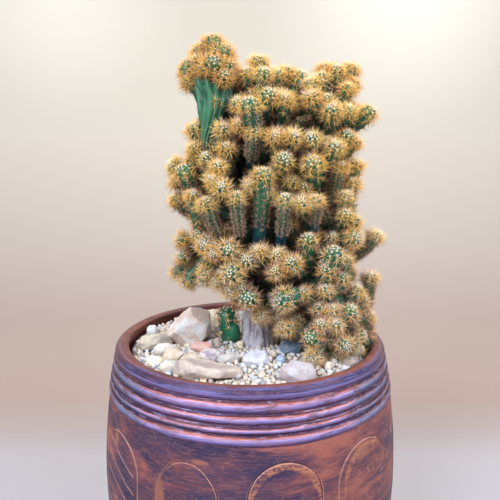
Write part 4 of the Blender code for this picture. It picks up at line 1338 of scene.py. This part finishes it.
# %% The last heads
UNDER_HEADS = (
    (19, -46, 4.4, 6), (15, -39, 4.6, 8), (24, -47, 4.8, 4), (46, -54, 4.8, -4), (52, -64, 4.6, -6),
    (64, -63, 4.4, -4), (45, -68, 4.2, -8), (72, -57, 4.4, 2), (67, -31, 4.6, 0), (-27, -18, 4.4, 4),
    (7, -39, 4.4, 2), (25, 42, 4.6, 6), (32, 38, 4.4, 6), (-15, 13, 4.4, 10), (50, -36, 4.4, -4),
    (43, -45, 4.6, -8), (62, -57, 4.4, -8),
)
HOOD_FILL = ((-32, 112, 5.2, 14), (-13, 110, 5.2, 16), (-27, 109, 5.4, 12))
BACKING = (
    (-8, 60, 5, 30), (-12, 79, 5, 26), (-34, 54, 4.6, 14), (10, -28, 4.8, 22), (27, -37, 5, 14),
    (-7, 97, 5, 26), (16, 104, 5, 24), (30, 103, 5, 24), (25, -20, 5.5, 34), (31, -32, 5, 34),
    (34, -42, 5, 30),
)
FIRST_FILL = len(heads)
heads += placed_on_board(UNDER_HEADS + HOOD_FILL + BACKING)
heads += kept_in_outline(fill_heads(heads))
print("heads with the small ones:", len(heads))

# %% [markdown]
# ## Modelling one head
# A head is a short dome with eight ribs. Each rib has small bumps, and on each bump sits a woolly cushion
# that carries the spines. A sphere is modelled once, its valleys drawn in and its bumps pushed out.

# %% One ribbed head
RIBS = 8
DOME_RINGS = 6
STEM_RINGS, LONG_RINGS = 7, 24
VALLEY = 0.80
BUMP = 1.08


def ring_of(vert, stem_rings):
    """Which ring a vertex is on: 0 at the crown, 6 at the shoulder and more down the stem."""
    if math.hypot(vert.co.x, vert.co.y) < 0.01:
        return 0 if vert.co.z > 0 else DOME_RINGS + stem_rings + 1
    if vert.co.z > -0.01:
        return round(math.acos(min(1.0, vert.co.z)) / (math.pi / 2) * DOME_RINGS)
    return DOME_RINGS + round(-vert.co.z)


def rib_of(vert):
    """Even on a rib, odd in a valley, counted round the axis."""
    return round(math.atan2(vert.co.y, vert.co.x) / (math.pi / RIBS)) % (2 * RIBS)


def has_cushion(ring, rib, stem_rings):
    """Cushions sit on every other ring of a rib, and those of the next rib lie between them."""
    return 0 < ring <= DOME_RINGS + stem_rings and rib % 2 == 0 and (ring + rib // 2) % 2 == 0


def model_head(stem_rings):
    """A head with this many rings down its stem: its mesh, corners, the ring of each, and its cushions."""
    bpy.ops.mesh.primitive_uv_sphere_add(segments=2 * RIBS, ring_count=2 * DOME_RINGS, radius=1)
    form = bpy.context.object
    select_points(form, lambda vert: vert.co.z < -0.01)
    bpy.ops.mesh.delete(type="VERT")
    select_points(form, lambda vert: vert.co.z < 0.01)
    for _ in range(stem_rings):
        bpy.ops.mesh.extrude_region_move(TRANSFORM_OT_translate={"value": (0, 0, -1)})
    bpy.ops.mesh.extrude_region_move(TRANSFORM_OT_translate={"value": (0, 0, 0)})
    bpy.ops.mesh.merge(type="CENTER")
    face_outward()
    rings = [ring_of(vert, stem_rings) for vert in form.data.vertices]
    ribs = [rib_of(vert) for vert in form.data.vertices]
    spots = [k for k, label in enumerate(zip(rings, ribs)) if has_cushion(*label, stem_rings)]
    select_points(form, lambda vert: ribs[vert.index] % 2 == 1)
    bpy.ops.transform.resize(value=(VALLEY, VALLEY, 1), center_override=(0, 0, 0))
    select_points(form, lambda vert: vert.index in spots)
    bpy.ops.transform.resize(value=(BUMP, BUMP, 1), center_override=(0, 0, 0))
    clear_choice()
    mesh = mesh_alone(form)
    corners = np.array([vert.co for vert in mesh.vertices])
    return {"mesh": mesh, "corners": corners, "rings": rings, "spots": spots}


HEAD_FORM = model_head(STEM_RINGS)
LONG_FORM = model_head(LONG_RINGS)
print("one head:", len(HEAD_FORM["mesh"].polygons), "faces and", len(HEAD_FORM["spots"]), "cushions")

# %% [markdown]
# ## Growing every head from the model
# Each copy is turned to its own axis, and its lower half is drawn out into a stem that ends in a limb.
# A little noise makes each one different. The places of the cushions are kept for the spines.

# %% Heads on their stems
FLESH_SHARE = 0.64
STEM_NARROW = 0.22
STEM_PACKING = 1.45
OUTWARD_BOW = 0.20
KNOCK = 0.18
branch_parts = bpy.data.collections.new("branch_parts")
bpy.context.scene.collection.children.link(branch_parts)


def grow(form, root, centre, radius, seed):
    """The corners of one head on its bent stem, and the way that each corner faces."""
    root, centre, shape = np.array(root), np.array(centre), form["corners"]
    stem_rings = max(form["rings"]) - DOME_RINGS - 1
    span = centre - root
    control = root + span * 0.5 + span * np.array((OUTWARD_BOW, OUTWARD_BOW, -0.1))
    down = (-shape[:, 2:3]).clip(0, stem_rings) / stem_rings
    t = 1 - down ** (STEM_PACKING if form is HEAD_FORM else 1)
    middle = (1 - t) ** 2 * root + 2 * t * (1 - t) * control + t ** 2 * centre
    along = 2 * (1 - t) * (control - root) + 2 * t * (centre - control)
    along /= np.linalg.norm(along, axis=1)[:, None]
    axis = Vector(centre - control).normalized()
    first = axis.orthogonal().normalized()
    first = np.array(Matrix.Rotation(seed * GOLDEN_ANGLE, 3, axis) @ first)
    side = first - along * (along @ first)[:, None]
    side /= np.linalg.norm(side, axis=1)[:, None]
    other = np.cross(along, side)
    knocks = [noise.noise(Vector(corner) * 0.9 + Vector((seed * 3.1, 0, seed))) for corner in shape]
    wide = radius * (1 - STEM_NARROW * down) * (1 + KNOCK * np.array(knocks)[:, None])
    rise = shape[:, 2:3].clip(0, 1)
    flat = side * shape[:, :1] + other * shape[:, 1:2]
    ways = flat + along * np.where(rise > 0, rise, 0.25)
    ways /= np.linalg.norm(ways, axis=1)[:, None]
    return middle + flat * wide + along * rise * radius, ways


def grown_mesh(form, corners):
    """A copy of the head's mesh with its corners in place."""
    mesh = form["mesh"].copy()
    mesh.vertices.foreach_set("co", corners.astype(np.float32).ravel())
    mesh.update()
    return mesh


# %% [markdown]
# Most stems run back into the mass. Some of them hang down in front, long and nearly bare. The table goes
# from a head's place on the board to its stem's foot: across, up, how much further back, and how blue.

# %% Long bare stems in front
LONG_STEMS = {
    (8, 44): (5, 4, 14, 0.9), (0, 86): (4, 64, 12, 0.8), (-44, 30): (-28, 18, 8, 0.2),
    (-39, 46): (-27, 30, 8, 0.3), (61, 39): (50, 6, 10, 1.0), (39, 29): (38, 12, 8, 0.8),
    (54, 49): (46, 26, 8, 0.5), (-40, -4): (-26, -13, 6, 0.1),
    (75, 8): (60, -6, 4, 0.15), (72, -17): (70, -34, 4, 0.2), (2, 71): (0, 50, 14, 0.8),
    (-8, 31): (-6, 10, 8, 0.4), (-26, 27): (-18, 9, 8, 0.4), (21, 30): (18, 3, 14, 1.0),
}
HOOD_MIDDLE, HOOD_BACK, HOOD_TOP = -21 * MM, -2 * MM, 311 * MM


def root_for(index):
    """The foot of a head's stem, and how blue and bare the stem is."""
    centre = heads[index][0]
    if index < len(FRONT_HEADS):
        across, up, _, extra = FRONT_HEADS[index]
        if (across, up) in LONG_STEMS:
            foot_across, foot_up, further, blue = LONG_STEMS[(across, up)]
            return slid_to_depth(foot_across, foot_up, centre.y + further * MM), blue
    first_hood_fill = FIRST_FILL + len(UNDER_HEADS)
    if index in HOOD_HEADS or first_hood_fill <= index < first_hood_fill + len(HOOD_FILL):
        across = HOOD_MIDDLE + (centre.x - HOOD_MIDDLE) * 0.4
        return Vector((across, HOOD_BACK, min(centre.z - 4 * MM, HOOD_TOP))), None
    return stem_root(centre), None


cushions = []
roots = [root_for(index) for index in range(len(heads))]
for index, (centre, size) in enumerate(heads):
    root, bare = roots[index]
    form = HEAD_FORM if bare is None else LONG_FORM
    corners, ways = grow(form, root, centre, size * FLESH_SHARE, index)
    branch_parts.objects.link(bpy.data.objects.new("head", grown_mesh(form, corners)))
    cushions += [(*corners[k], *ways[k], index, form["rings"][k]) for k in form["spots"]]
print("cushions on heads before sorting out hidden ones:", len(cushions))

# %% [markdown]
# ## Limbs and the crested fan
# The limbs are thick ribbed stems inside the mass. The crest is a stem whose tip grew into a line, so it
# spreads as a pleated fan. Both start as a circle that is extruded and resized, section by section.

# %% Drawing a stem through its sections
def extruded_stem(sections, sides):
    """A stem from sections (centre, half width, half thickness)."""
    first, wide, thick = sections[0]
    bpy.ops.mesh.primitive_circle_add(vertices=sides, radius=1, fill_type="NGON", location=first)
    made = bpy.context.object
    made.scale = (wide, thick, 1)
    settle(made)
    edit_all(made)
    for (here, wide0, thick0), (there, wide1, thick1) in zip(sections, sections[1:]):
        bpy.ops.mesh.extrude_region_move(TRANSFORM_OT_translate={"value": there - here})
        bpy.ops.transform.resize(value=(wide1 / wide0, thick1 / thick0, 1), center_override=there)
    face_outward()
    return made


def smooth_sections(rows, steps):
    """Rows of numbers with more rows between them on a smooth curve."""
    rows = np.array(rows, float)
    padded = np.vstack((2 * rows[0] - rows[1], rows, 2 * rows[-1] - rows[-2]))
    out = []
    for a, b, c, d in zip(padded, padded[1:], padded[2:], padded[3:]):
        for t in np.arange(0, 1, 1 / steps):
            out.append(0.5 * (2 * b + (c - a) * t + (2 * a - 5 * b + 4 * c - d) * t ** 2
                              + (3 * b - a - 3 * c + d) * t ** 3))
    return out + [rows[-1]]


LIMB_SIDES = 20
LIMB_STEPS = 8
LIMB_RIB = 0.10
limb_objects = []
limb_cushions = []
for route in LIMBS.values():
    rows = smooth_sections(route, LIMB_STEPS)
    sections = [(Vector(row[:3]) * MM, row[3] * MM * LIMB_SLIM, row[3] * MM * LIMB_SLIM) for row in rows]
    limb = extruded_stem(sections, LIMB_SIDES)
    for vert in limb.data.vertices:
        ring, rib = divmod(vert.index, LIMB_SIDES)
        middle = sections[min(ring, len(sections) - 1)][0]
        out = Vector((vert.co.x - middle.x, vert.co.y - middle.y, 0))
        bumped = 1 + LIMB_RIB * (1 if rib % 2 else -1) * (1.4 if (ring + rib // 2) % 2 else 0.8)
        vert.co = Vector((middle.x, middle.y, vert.co.z)) + out * bumped
        if rib % 2 and (ring + rib // 2) % 2 and out.length > MM:
            limb_cushions.append((*vert.co, *out.normalized(), -1, DOME_RINGS + STEM_RINGS))
    limb_objects.append(limb)
print("cushions on limbs before sorting out hidden ones:", len(limb_cushions))

# %% [markdown]
# The rows of the fan give a height, a place across and in depth, a half width and a half thickness, in mm.
# Every fourth corner is drawn in, which leaves the pleats.

# %% The pleated fan of the crest
FAN_SECTIONS = (
    (240, -22.5, -6, 2.6, 3.0), (253, -24, -9, 2.8, 3.2), (267, -25, -11, 3.4, 3.8),
    (276, -22.8, -11.5, 4.6, 4.2), (284, -21, -12, 6.9, 4.8), (292, -19.9, -11.5, 9.6, 5.2),
    (301, -21, -10, 11.6, 5.6), (308, -21.6, -6, 11.3, 5.5), (315, -21.5, -3, 7.5, 4.5),
)
FAN_SIDES = 48
FAN_STEPS = 6
FAN_DEPTHS = (0.42, 0.93, 1.06, 0.98)
FAN_UNEVEN, FAN_SWAY = 0.16, 1.1
fan_rows = []
for z, x, y, wide, thick in smooth_sections(FAN_SECTIONS, FAN_STEPS):
    fan_rows.append((Vector((x, y, z)) * MM, wide * MM, thick * MM))
fan = extruded_stem(fan_rows, FAN_SIDES)
for vert in fan.data.vertices:
    ring, side = divmod(vert.index, FAN_SIDES)
    middle = fan_rows[min(ring, len(fan_rows) - 1)][0]
    out = Vector((vert.co.x - middle.x, vert.co.y - middle.y, 0))
    uneven = 1 + FAN_UNEVEN * noise.noise(Vector((side // 4 * 5.3, vert.co.z / (9 * MM), 0)))
    sway = Vector((noise.noise(Vector((side * 0.35, vert.co.z / (14 * MM), 7))), 0, 0)) * FAN_SWAY * MM
    vert.co = Vector((middle.x, middle.y, vert.co.z)) + out * FAN_DEPTHS[side % 4] * uneven + sway
print("limbs:", len(limb_objects), "and a fan of", triangle_count(fan), "triangles")

# %% [markdown]
# ## One body of flesh
# The real plant is one body, so the limbs, the fan and all the heads are fused by one Boolean union.
# Then each vertex learns whether it lies near a young crown or deep on an old stem.

# %% Fusing the flesh
flesh = limb_objects[2]
for part in limb_objects + [fan]:
    if part is not flesh:
        for holder in list(part.users_collection):
            holder.objects.unlink(part)
        branch_parts.objects.link(part)
combine(flesh, "UNION", branch_parts)
print("fused flesh:", triangle_count(flesh), "triangles")

# %% Young and old flesh
STEM_SKIN = 1.35
FAN_MIDDLE, FAN_HALF, FAN_LOW, FAN_BACK, FAN_SKIN = -22 * MM, 14 * MM, 240 * MM, 1 * MM, 1.25
centres = np.array([centre for centre, _ in heads])
radii = np.array([size for _, size in heads]) * FLESH_SHARE
root_points = np.array([root for root, _ in roots])
blues = np.array([0.0 if blue is None else blue for _, blue in roots])
flesh_points = np.array([vert.co for vert in flesh.data.vertices])


def beside_stem(points, centre, root, most):
    """How far up a stem each point lies, from 0 to this share, and how far away from it."""
    span = centre - root
    up = ((points - root) @ span / (span @ span)).clip(0, most)
    return up, np.linalg.norm(points - root - up[:, None] * span, axis=1)


def headway(points):
    """For each point: the stem it lies on, how far up that stem, and its distance in stem radii."""
    nearest = np.zeros(len(points), int)
    share = np.zeros(len(points))
    best = np.full(len(points), 1e9)
    for k, (centre, root, radius) in enumerate(zip(centres, root_points, radii)):
        up, away = beside_stem(points, centre, root, 1.2)
        away /= radius
        closer = away < best
        nearest[closer] = k
        share[closer] = up[closer]
        best[closer] = away[closer]
    return nearest, share, best


def keep_tone(piece, name, values):
    """Keeps a number for each vertex, for the finish to read."""
    kept = piece.data.attributes.new(name, "FLOAT", "POINT")
    kept.data.foreach_set("value", np.asarray(values, np.float32))


nearest, share, away = headway(flesh_points)
on_stem = away < STEM_SKIN
head_dice = random.Random(31)
head_tone = np.array([head_dice.random() for _ in heads])
keep_tone(flesh, "young", np.where(on_stem, share, 0.0))
keep_tone(flesh, "tone", head_tone[nearest])
keep_tone(flesh, "blue", np.where(on_stem, blues[nearest] * (1.2 - 1.3 * share).clip(0, 1), 0.25))
in_fan = np.abs(flesh_points[:, 0] - FAN_MIDDLE) < FAN_HALF
in_fan &= (flesh_points[:, 2] > FAN_LOW) & (flesh_points[:, 1] < FAN_BACK) & (away > FAN_SKIN)
keep_tone(flesh, "crest", in_fan.astype(float))
flesh.data.shade_smooth()
print("points on stems:", int(on_stem.sum()), "and in the fan:", int(in_fan.sum()))

# %% The finish of the flesh
def flesh_finish(name):
    """Green skin: fresh at the crowns, blue-green down the stems and brown where it is old. The fan of the
    crest has painted shade at its top, under the hood of heads, and on its right wing.
    """
    made = Finish(name, {"Roughness": 0.45, "Specular IOR Level": 0.35})
    mottle = made.noise(260, 4)
    streaks = made.noise(330, 3, (1, 1, 0.25))
    young = made.attribute("young")
    tone = made.attribute("tone")
    fresh = made.mix(tone, (0.022, 0.150, 0.062), (0.014, 0.105, 0.070))
    green = made.mix(mottle, (0.016, 0.078, 0.036), (0.030, 0.105, 0.050))
    blue = made.mix(made.rise(mottle, 0.4, 0.6), (0.010, 0.042, 0.066), (0.010, 0.085, 0.080))
    old = made.mix(mottle, (0.040, 0.022, 0.018), (0.022, 0.052, 0.036))
    skin = made.mix(made.rise(young, 0.0, 0.35), old, green)
    skin = made.mix(made.rise(made.attribute("blue"), 0.35, 0.85), skin, blue)
    skin = made.mix(made.rise(young, 0.55, 0.95), skin, fresh)
    # Painted shade on the fan: it is darker at its top, under the hood of heads, and on its right wing.
    out_of_hood_shade = made.rise(made.along("Z"), 296 * MM, 258 * MM)
    crest = made.mix(out_of_hood_shade, (0.014, 0.090, 0.042), (0.120, 0.250, 0.150))
    crest = made.mix(made.rise(streaks, 0.40, 0.64) * 0.7, crest, (0.060, 0.230, 0.110))
    shaded = made.rise(made.along("X"), -19.5 * MM, -16.5 * MM)
    crest = made.mix(shaded * 0.75, crest, (0.012, 0.060, 0.036))
    skin = made.mix(made.attribute("crest"), skin, crest)
    made.paint("Base Color", skin)
    made.bump(made.noise(700, 3), 0.15 * MM, 0.5)
    return made


flesh_green = flesh_finish("ribbed_green_flesh")
finish_piece(flesh, "green_flesh", flesh_green, ("cactus_branches",))

# %% [markdown]
# ## The offset
# A young shoot stands beside the trunk. It has the same form as a head, with a smooth lobe at its side.

# %% The offset
OFFSET_FOOT = Vector((-10, 3, 139)) * MM
OFFSET_HEAD = Vector((-14.5, 2, 162)) * MM
OFFSET_RADIUS = 6.5 * MM
LOBE_PLACE = Vector((-10.2, -1.5, 153)) * MM
LOBE_SIZE = Vector((4.2, 4.2, 6.0)) * MM
OFFSET_SEED = 3
LOWEST_CUSHION = DOME_RINGS + 4
offset_corners, offset_ways = grow(HEAD_FORM, OFFSET_FOOT, OFFSET_HEAD, OFFSET_RADIUS, OFFSET_SEED)
offset = new_piece("offset", grown_mesh(HEAD_FORM, offset_corners))
shape_with(offset, "SUBSURF", levels=1, render_levels=1)
bpy.ops.mesh.primitive_uv_sphere_add(segments=24, ring_count=14, radius=1, location=LOBE_PLACE)
lobe = bpy.context.object
lobe.scale = LOBE_SIZE
settle(lobe)
shape_with(offset, "BOOLEAN", operation="UNION", object=lobe, solver="MANIFOLD")
bpy.data.objects.remove(lobe)
offset.data.shade_smooth()
offset_points = np.array([vert.co for vert in offset.data.vertices])
keep_tone(offset, "young", ((offset_points[:, 2] / MM - 140) / 10).clip(0, 1))
for name, value in (("tone", 0.4), ("blue", 0.0), ("crest", 0.0)):
    keep_tone(offset, name, np.full(len(offset_points), value))
finish_piece(offset, "offset_shoot", flesh_green, ("basal_offset",))
offset_cushions = []
for k in HEAD_FORM["spots"]:
    if HEAD_FORM["rings"][k] <= LOWEST_CUSHION:
        offset_cushions.append((*offset_corners[k], *offset_ways[k], 0, HEAD_FORM["rings"][k]))
print("cushions on the offset:", len(offset_cushions))

# %% [markdown]
# ## Spines and wool
# Every cushion holds a tuft of wool and a rosette of stiff golden spines. One spine is a thin cone with
# three sides, and one tuft is a low one with four. They are stamped on the cushions that show.

# %% Cushions that show
INSIDE_STEM, INSIDE_LIMB = 0.82, 0.90


def hidden(points, own):
    """True for points that lie inside another head, inside its stem or inside a limb."""
    inside = np.zeros(len(points), bool)
    for k, (centre, root, radius) in enumerate(zip(centres, root_points, radii)):
        _, away = beside_stem(points, centre, root, 1)
        inside |= (away < radius * INSIDE_STEM) & (own != k)
    for place, reach in limb_points:
        inside |= np.linalg.norm(points - np.array(place), axis=1) < reach * LIMB_SLIM * INSIDE_LIMB
    return inside


cushions = np.array(cushions + limb_cushions)
cushions = cushions[~hidden(cushions[:, :3], cushions[:, 6].astype(int))]
cushions = np.vstack((cushions, offset_cushions))
on_offset = np.arange(len(cushions)) >= len(cushions) - len(offset_cushions)
print("cushions outside the flesh:", len(cushions))

# %% How open each cushion lies
SKY_RAYS = 44
GRAZING = 0.15
LEAST_OPEN = 0.03
flesh_tree = BVHTree.FromObject(flesh, bpy.context.evaluated_depsgraph_get())
sky = []
for k in range(SKY_RAYS):
    up = 1 - 2 * (k + 0.5) / SKY_RAYS
    flat = math.sqrt(1 - up * up)
    sky.append(Vector((flat * math.cos(k * GOLDEN_ANGLE), flat * math.sin(k * GOLDEN_ANGLE), up)))


def openness(spot, way):
    """The share of the sky before a cushion that no flesh hides."""
    start = spot + way * MM
    aims = [aim for aim in sky if aim.dot(way) > GRAZING]
    return sum(flesh_tree.ray_cast(start, aim)[0] is None for aim in aims) / len(aims)


open_share = np.array([openness(Vector(row[:3]), Vector(row[3:6])) for row in cushions])
lit = open_share > LEAST_OPEN
cushions, on_offset, open_share = cushions[lit], on_offset[lit], open_share[lit]
print("cushions that show:", len(cushions))

# %% One spine and one tuft
def model_cone(sides, middle):
    """A cone one unit wide and tall with its middle at this height, made of triangles."""
    bpy.ops.mesh.primitive_cone_add(vertices=sides, radius1=1, radius2=0, depth=1, location=(0, 0, middle))
    made = bpy.context.object
    settle(made)
    edit_all(made)
    bpy.ops.mesh.quads_convert_to_tris()
    clear_choice()
    return mesh_alone(made)


spine_shape = model_cone(3, 0.5)
tuft_shape = model_cone(4, 0.3)
print("one spine:", len(spine_shape.polygons), "faces, and one tuft:", len(tuft_shape.polygons))

# %% Rosettes of spines
SPINE_FOOT = 0.18 * MM
SPINE_SUNK = 0.4 * MM
MIDDLE_LEAN = 12
SPINE_VARIES = (0.66, 1.15)


def square_to(ways):
    """Two directions square to each of these ways."""
    helper = np.where(np.abs(ways[:, 2:3]) < 0.9, np.array([[0.0, 0.0, 1.0]]), np.array([[1.0, 0.0, 0.0]]))
    side = np.cross(ways, helper)
    side /= np.linalg.norm(side, axis=1)[:, None]
    return side, np.cross(ways, side)


def rosettes(spots, ways, lengths, count, least, most, seed):
    """Feet, frames and the number of their cushion, for the spines of every cushion.

    The first spine of a cushion stands nearly upright. The others lean between least and most degrees.
    """
    draw = np.random.default_rng(seed)
    side, other = square_to(ways)
    feet, frames, source = [], [], []
    first_turn = draw.uniform(0, 2 * math.pi, len(spots))
    for k in range(count):
        turn = first_turn + 2 * math.pi * k / max(1, count - 1) + draw.uniform(-0.5, 0.5, len(spots))
        low, high = (least, most) if k else (0, least + MIDDLE_LEAN)
        lean = np.radians(draw.uniform(low, high, len(spots)))
        out = side * np.cos(turn)[:, None] + other * np.sin(turn)[:, None]
        along = ways * np.cos(lean)[:, None] + out * np.sin(lean)[:, None]
        across = np.cross(along, ways + 0.01)
        across /= np.linalg.norm(across, axis=1)[:, None]
        third = np.cross(along, across)
        long = lengths * draw.uniform(*SPINE_VARIES, len(spots))
        feet.append(spots - ways * SPINE_SUNK)
        frames.append(np.stack((across * SPINE_FOOT, third * SPINE_FOOT, along * long[:, None]), axis=1))
        source.append(np.arange(len(spots)))
    return np.concatenate(feet), np.concatenate(frames), np.concatenate(source)


# %% [markdown]
# Spines at a crown are young: short, pale and few. Those on the shoulder are long and golden, and make
# the halo. Down the stem they grow older and turn brown, and on the old limbs they are dull and sparse. Where
# little sky reaches a cushion, its spines and wool are painted darker as shade. Nearly a third of the heads
# have open tops with few short spines, where the green skin and the wool show.

# %% The spines of each age
RING_LONG = (1.8, 2.3, 3.2, 4.4, 5.4, 6.1, 6.4, 6.0, 5.2, 4.6, 4.2, 3.8, 3.6, 3.6)
SPINES_A_PIECE = 49000
OPEN_HEADS, OPEN_RINGS, OPEN_LONG = 0.30, 5, 0.8
LONG_STEM_LONG, OFFSET_LONG = 0.85, 0.7
HOOD_LEFT_OF, HOOD_ABOVE = -8 * MM, 296
rings = cushions[:, 7].astype(int).clip(0, len(RING_LONG) - 1)
own = cushions[:, 6].astype(int)
on_limb = own < 0
on_long = np.array([bare is not None for _, bare in roots])[own] & ~on_limb & (rings > DOME_RINGS + 2)
lengths = np.array(RING_LONG)[rings] * MM * np.where(on_long, LONG_STEM_LONG, 1)
lengths *= np.where(on_offset, OFFSET_LONG, 1)
height = cushions[:, 2] / MM
low_down = ((250 - height) / 80).clip(0, 1)
# Spines grow older and browner down the stem, on the limbs and lower down the plant. The term with open_share
# darkens them where little sky reaches the cushion, and that part is painted shade.
age_and_shade = ((rings - DOME_RINGS) / 5).clip(0, 1) * 0.62 + (0.55 - open_share).clip(0, 1) * 1.6 + on_limb * 0.3
pale = (1 - (rings - 1) / 4).clip(0, 1) * 0.7 + low_down * 0.45
age_and_shade += low_down * 0.19
age_and_shade[on_offset], pale[on_offset] = 0, 0.8
age_and_shade[on_long] = age_and_shade[on_long].clip(0.25, 0.50)
in_hood = (cushions[:, 0] < HOOD_LEFT_OF) & (height > HOOD_ABOVE)
pale[in_hood] *= 0.35
age_and_shade[in_hood] += 0.10
hue = np.where(on_limb, 0.3, head_tone[own]) * np.where(in_hood, 0.15, 1)
open_head = (np.random.default_rng(12).random(len(heads)) < OPEN_HEADS)[own] & ~on_limb
open_top = open_head & (rings <= OPEN_RINGS) & ~in_hood & ~on_offset
lengths[open_top] *= OPEN_LONG
print("cushions on open tops:", int(open_top.sum()))

# %% Sorting the cushions into groups
deep = (open_share < 0.16) & ~on_long
open_top &= ~deep
crown = (rings <= 3) & ~deep & ~open_top
shoulder = (rings > 3) & (rings <= DOME_RINGS + 2) & ~deep & ~open_top
bare_foot = on_long & (blues[own] > 0.5) & (cushions[:, 7] > DOME_RINGS + LONG_RINGS * 0.7)
on_long &= ~bare_foot
lower = ~(deep | open_top | crown | shoulder | on_long | bare_foot)
print("cushions left bare:", int(bare_foot.sum()))

# %% [markdown]
# Each group of cushions has its own number of spines, and its least and greatest lean in degrees.

# %% The spines of each group
SPINE_GROUPS = (
    (open_top, 6, 32, 80), (crown, 9, 20, 78), (shoulder, 13, 22, 76), (lower, 8, 20, 72),
    (on_long, 6, 40, 85), (deep, 4, 20, 70),
)
spine_dice = np.random.default_rng(5)
feet, frames, source = [], [], []
for group, count, least, most in SPINE_GROUPS:
    spots = np.flatnonzero(group)
    places, ways = cushions[spots, :3], cushions[spots, 3:6]
    made = rosettes(places, ways, lengths[spots], count, least, most, 77 + count)
    feet.append(made[0])
    frames.append(made[1])
    source.append(spots[made[2]])
    print(len(spots), "cushions with", count, "spines each")
feet, frames, source = np.concatenate(feet), np.concatenate(frames), np.concatenate(source)
ages_and_shade = age_and_shade[source] + spine_dice.normal(0, 0.10, len(feet))
golds = hue[source] * 0.5 + spine_dice.uniform(0, 0.5, len(feet))
pales = np.where(spine_dice.random(len(feet)) < pale[source] * 0.62, 0.85, 0.06)
tip_rise = np.array([vert.co.z for vert in spine_shape.vertices])
tips = np.tile(tip_rise, (len(feet), 1))
print("spines:", len(feet))

# %% The finish of the spines
gold = Finish("golden_spines", {"Roughness": 0.65, "Specular IOR Level": 0.12})
tip = gold.attribute("tip")
shaft = gold.mix(gold.attribute("gold"), (0.95, 0.425, 0.048), (0.99, 0.720, 0.200))
shaft = gold.mix(gold.rise(tip, 0.35, 1.0) * 0.18, shaft, (0.98, 0.72, 0.28))
shaft = gold.mix(gold.attribute("pale"), shaft, (0.95, 0.84, 0.76))
# As the number rises, the spines go from golden to brown to dark. Where it comes from little sky, this
# darkening is painted shade.
middle_age_and_shade = gold.mix(gold.attribute("gold"), (0.50, 0.230, 0.140), (0.66, 0.450, 0.320))
old_and_shaded_shaft = gold.mix(gold.attribute("gold"), (0.080, 0.032, 0.030), (0.245, 0.135, 0.108))
aged_and_shaded = gold.mix(gold.rise(gold.attribute("age_and_shade"), 0.12, 0.45), shaft, middle_age_and_shade)
gold.paint("Base Color", gold.mix(gold.rise(gold.attribute("age_and_shade"), 0.45, 0.90), aged_and_shaded, old_and_shaded_shaft))
order = spine_dice.permutation(len(feet))
for part, start in enumerate(range(0, len(feet), SPINES_A_PIECE)):
    mine = order[start:start + SPINES_A_PIECE]
    tones = {"tip": tips[mine], "age_and_shade": ages_and_shade[mine], "gold": golds[mine], "pale": pales[mine]}
    spines = stamp("spines", spine_shape, feet[mine], frames[mine], tones)
    finish_piece(spines, f"golden_spines_{part + 1}", gold)

# %% Tufts of wool
TUFT = 0.60 * MM
has_wool = (rings <= DOME_RINGS + 3) & ~deep
woolly = cushions[has_wool]
# The wool darkens and shrinks with the same number, so its darkening is partly painted shade.
wool_age_and_shade = age_and_shade[has_wool]
side, other = square_to(woolly[:, 3:6])
tuft_size = TUFT * (1 - 0.35 * wool_age_and_shade)[:, None]
tuft_frames = np.stack((side * tuft_size, other * tuft_size, woolly[:, 3:6] * tuft_size), axis=1)
wool = Finish("white_wool", {"Roughness": 0.9})
wool_wire = wool.attribute("age_and_shade")
wool.paint("Base Color", wool.mix(wool.rise(wool_wire, 0.05, 0.7), (0.90, 0.85, 0.74), (0.42, 0.32, 0.28)))
tufts = stamp("tufts", tuft_shape, woolly[:, :3], tuft_frames, {"age_and_shade": wool_age_and_shade})
finish_piece(tufts, "wool_tufts", wool)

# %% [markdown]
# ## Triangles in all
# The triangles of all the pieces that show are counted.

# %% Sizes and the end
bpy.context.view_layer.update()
total = sum(triangle_count(piece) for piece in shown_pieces())
print("triangles in all:", total)
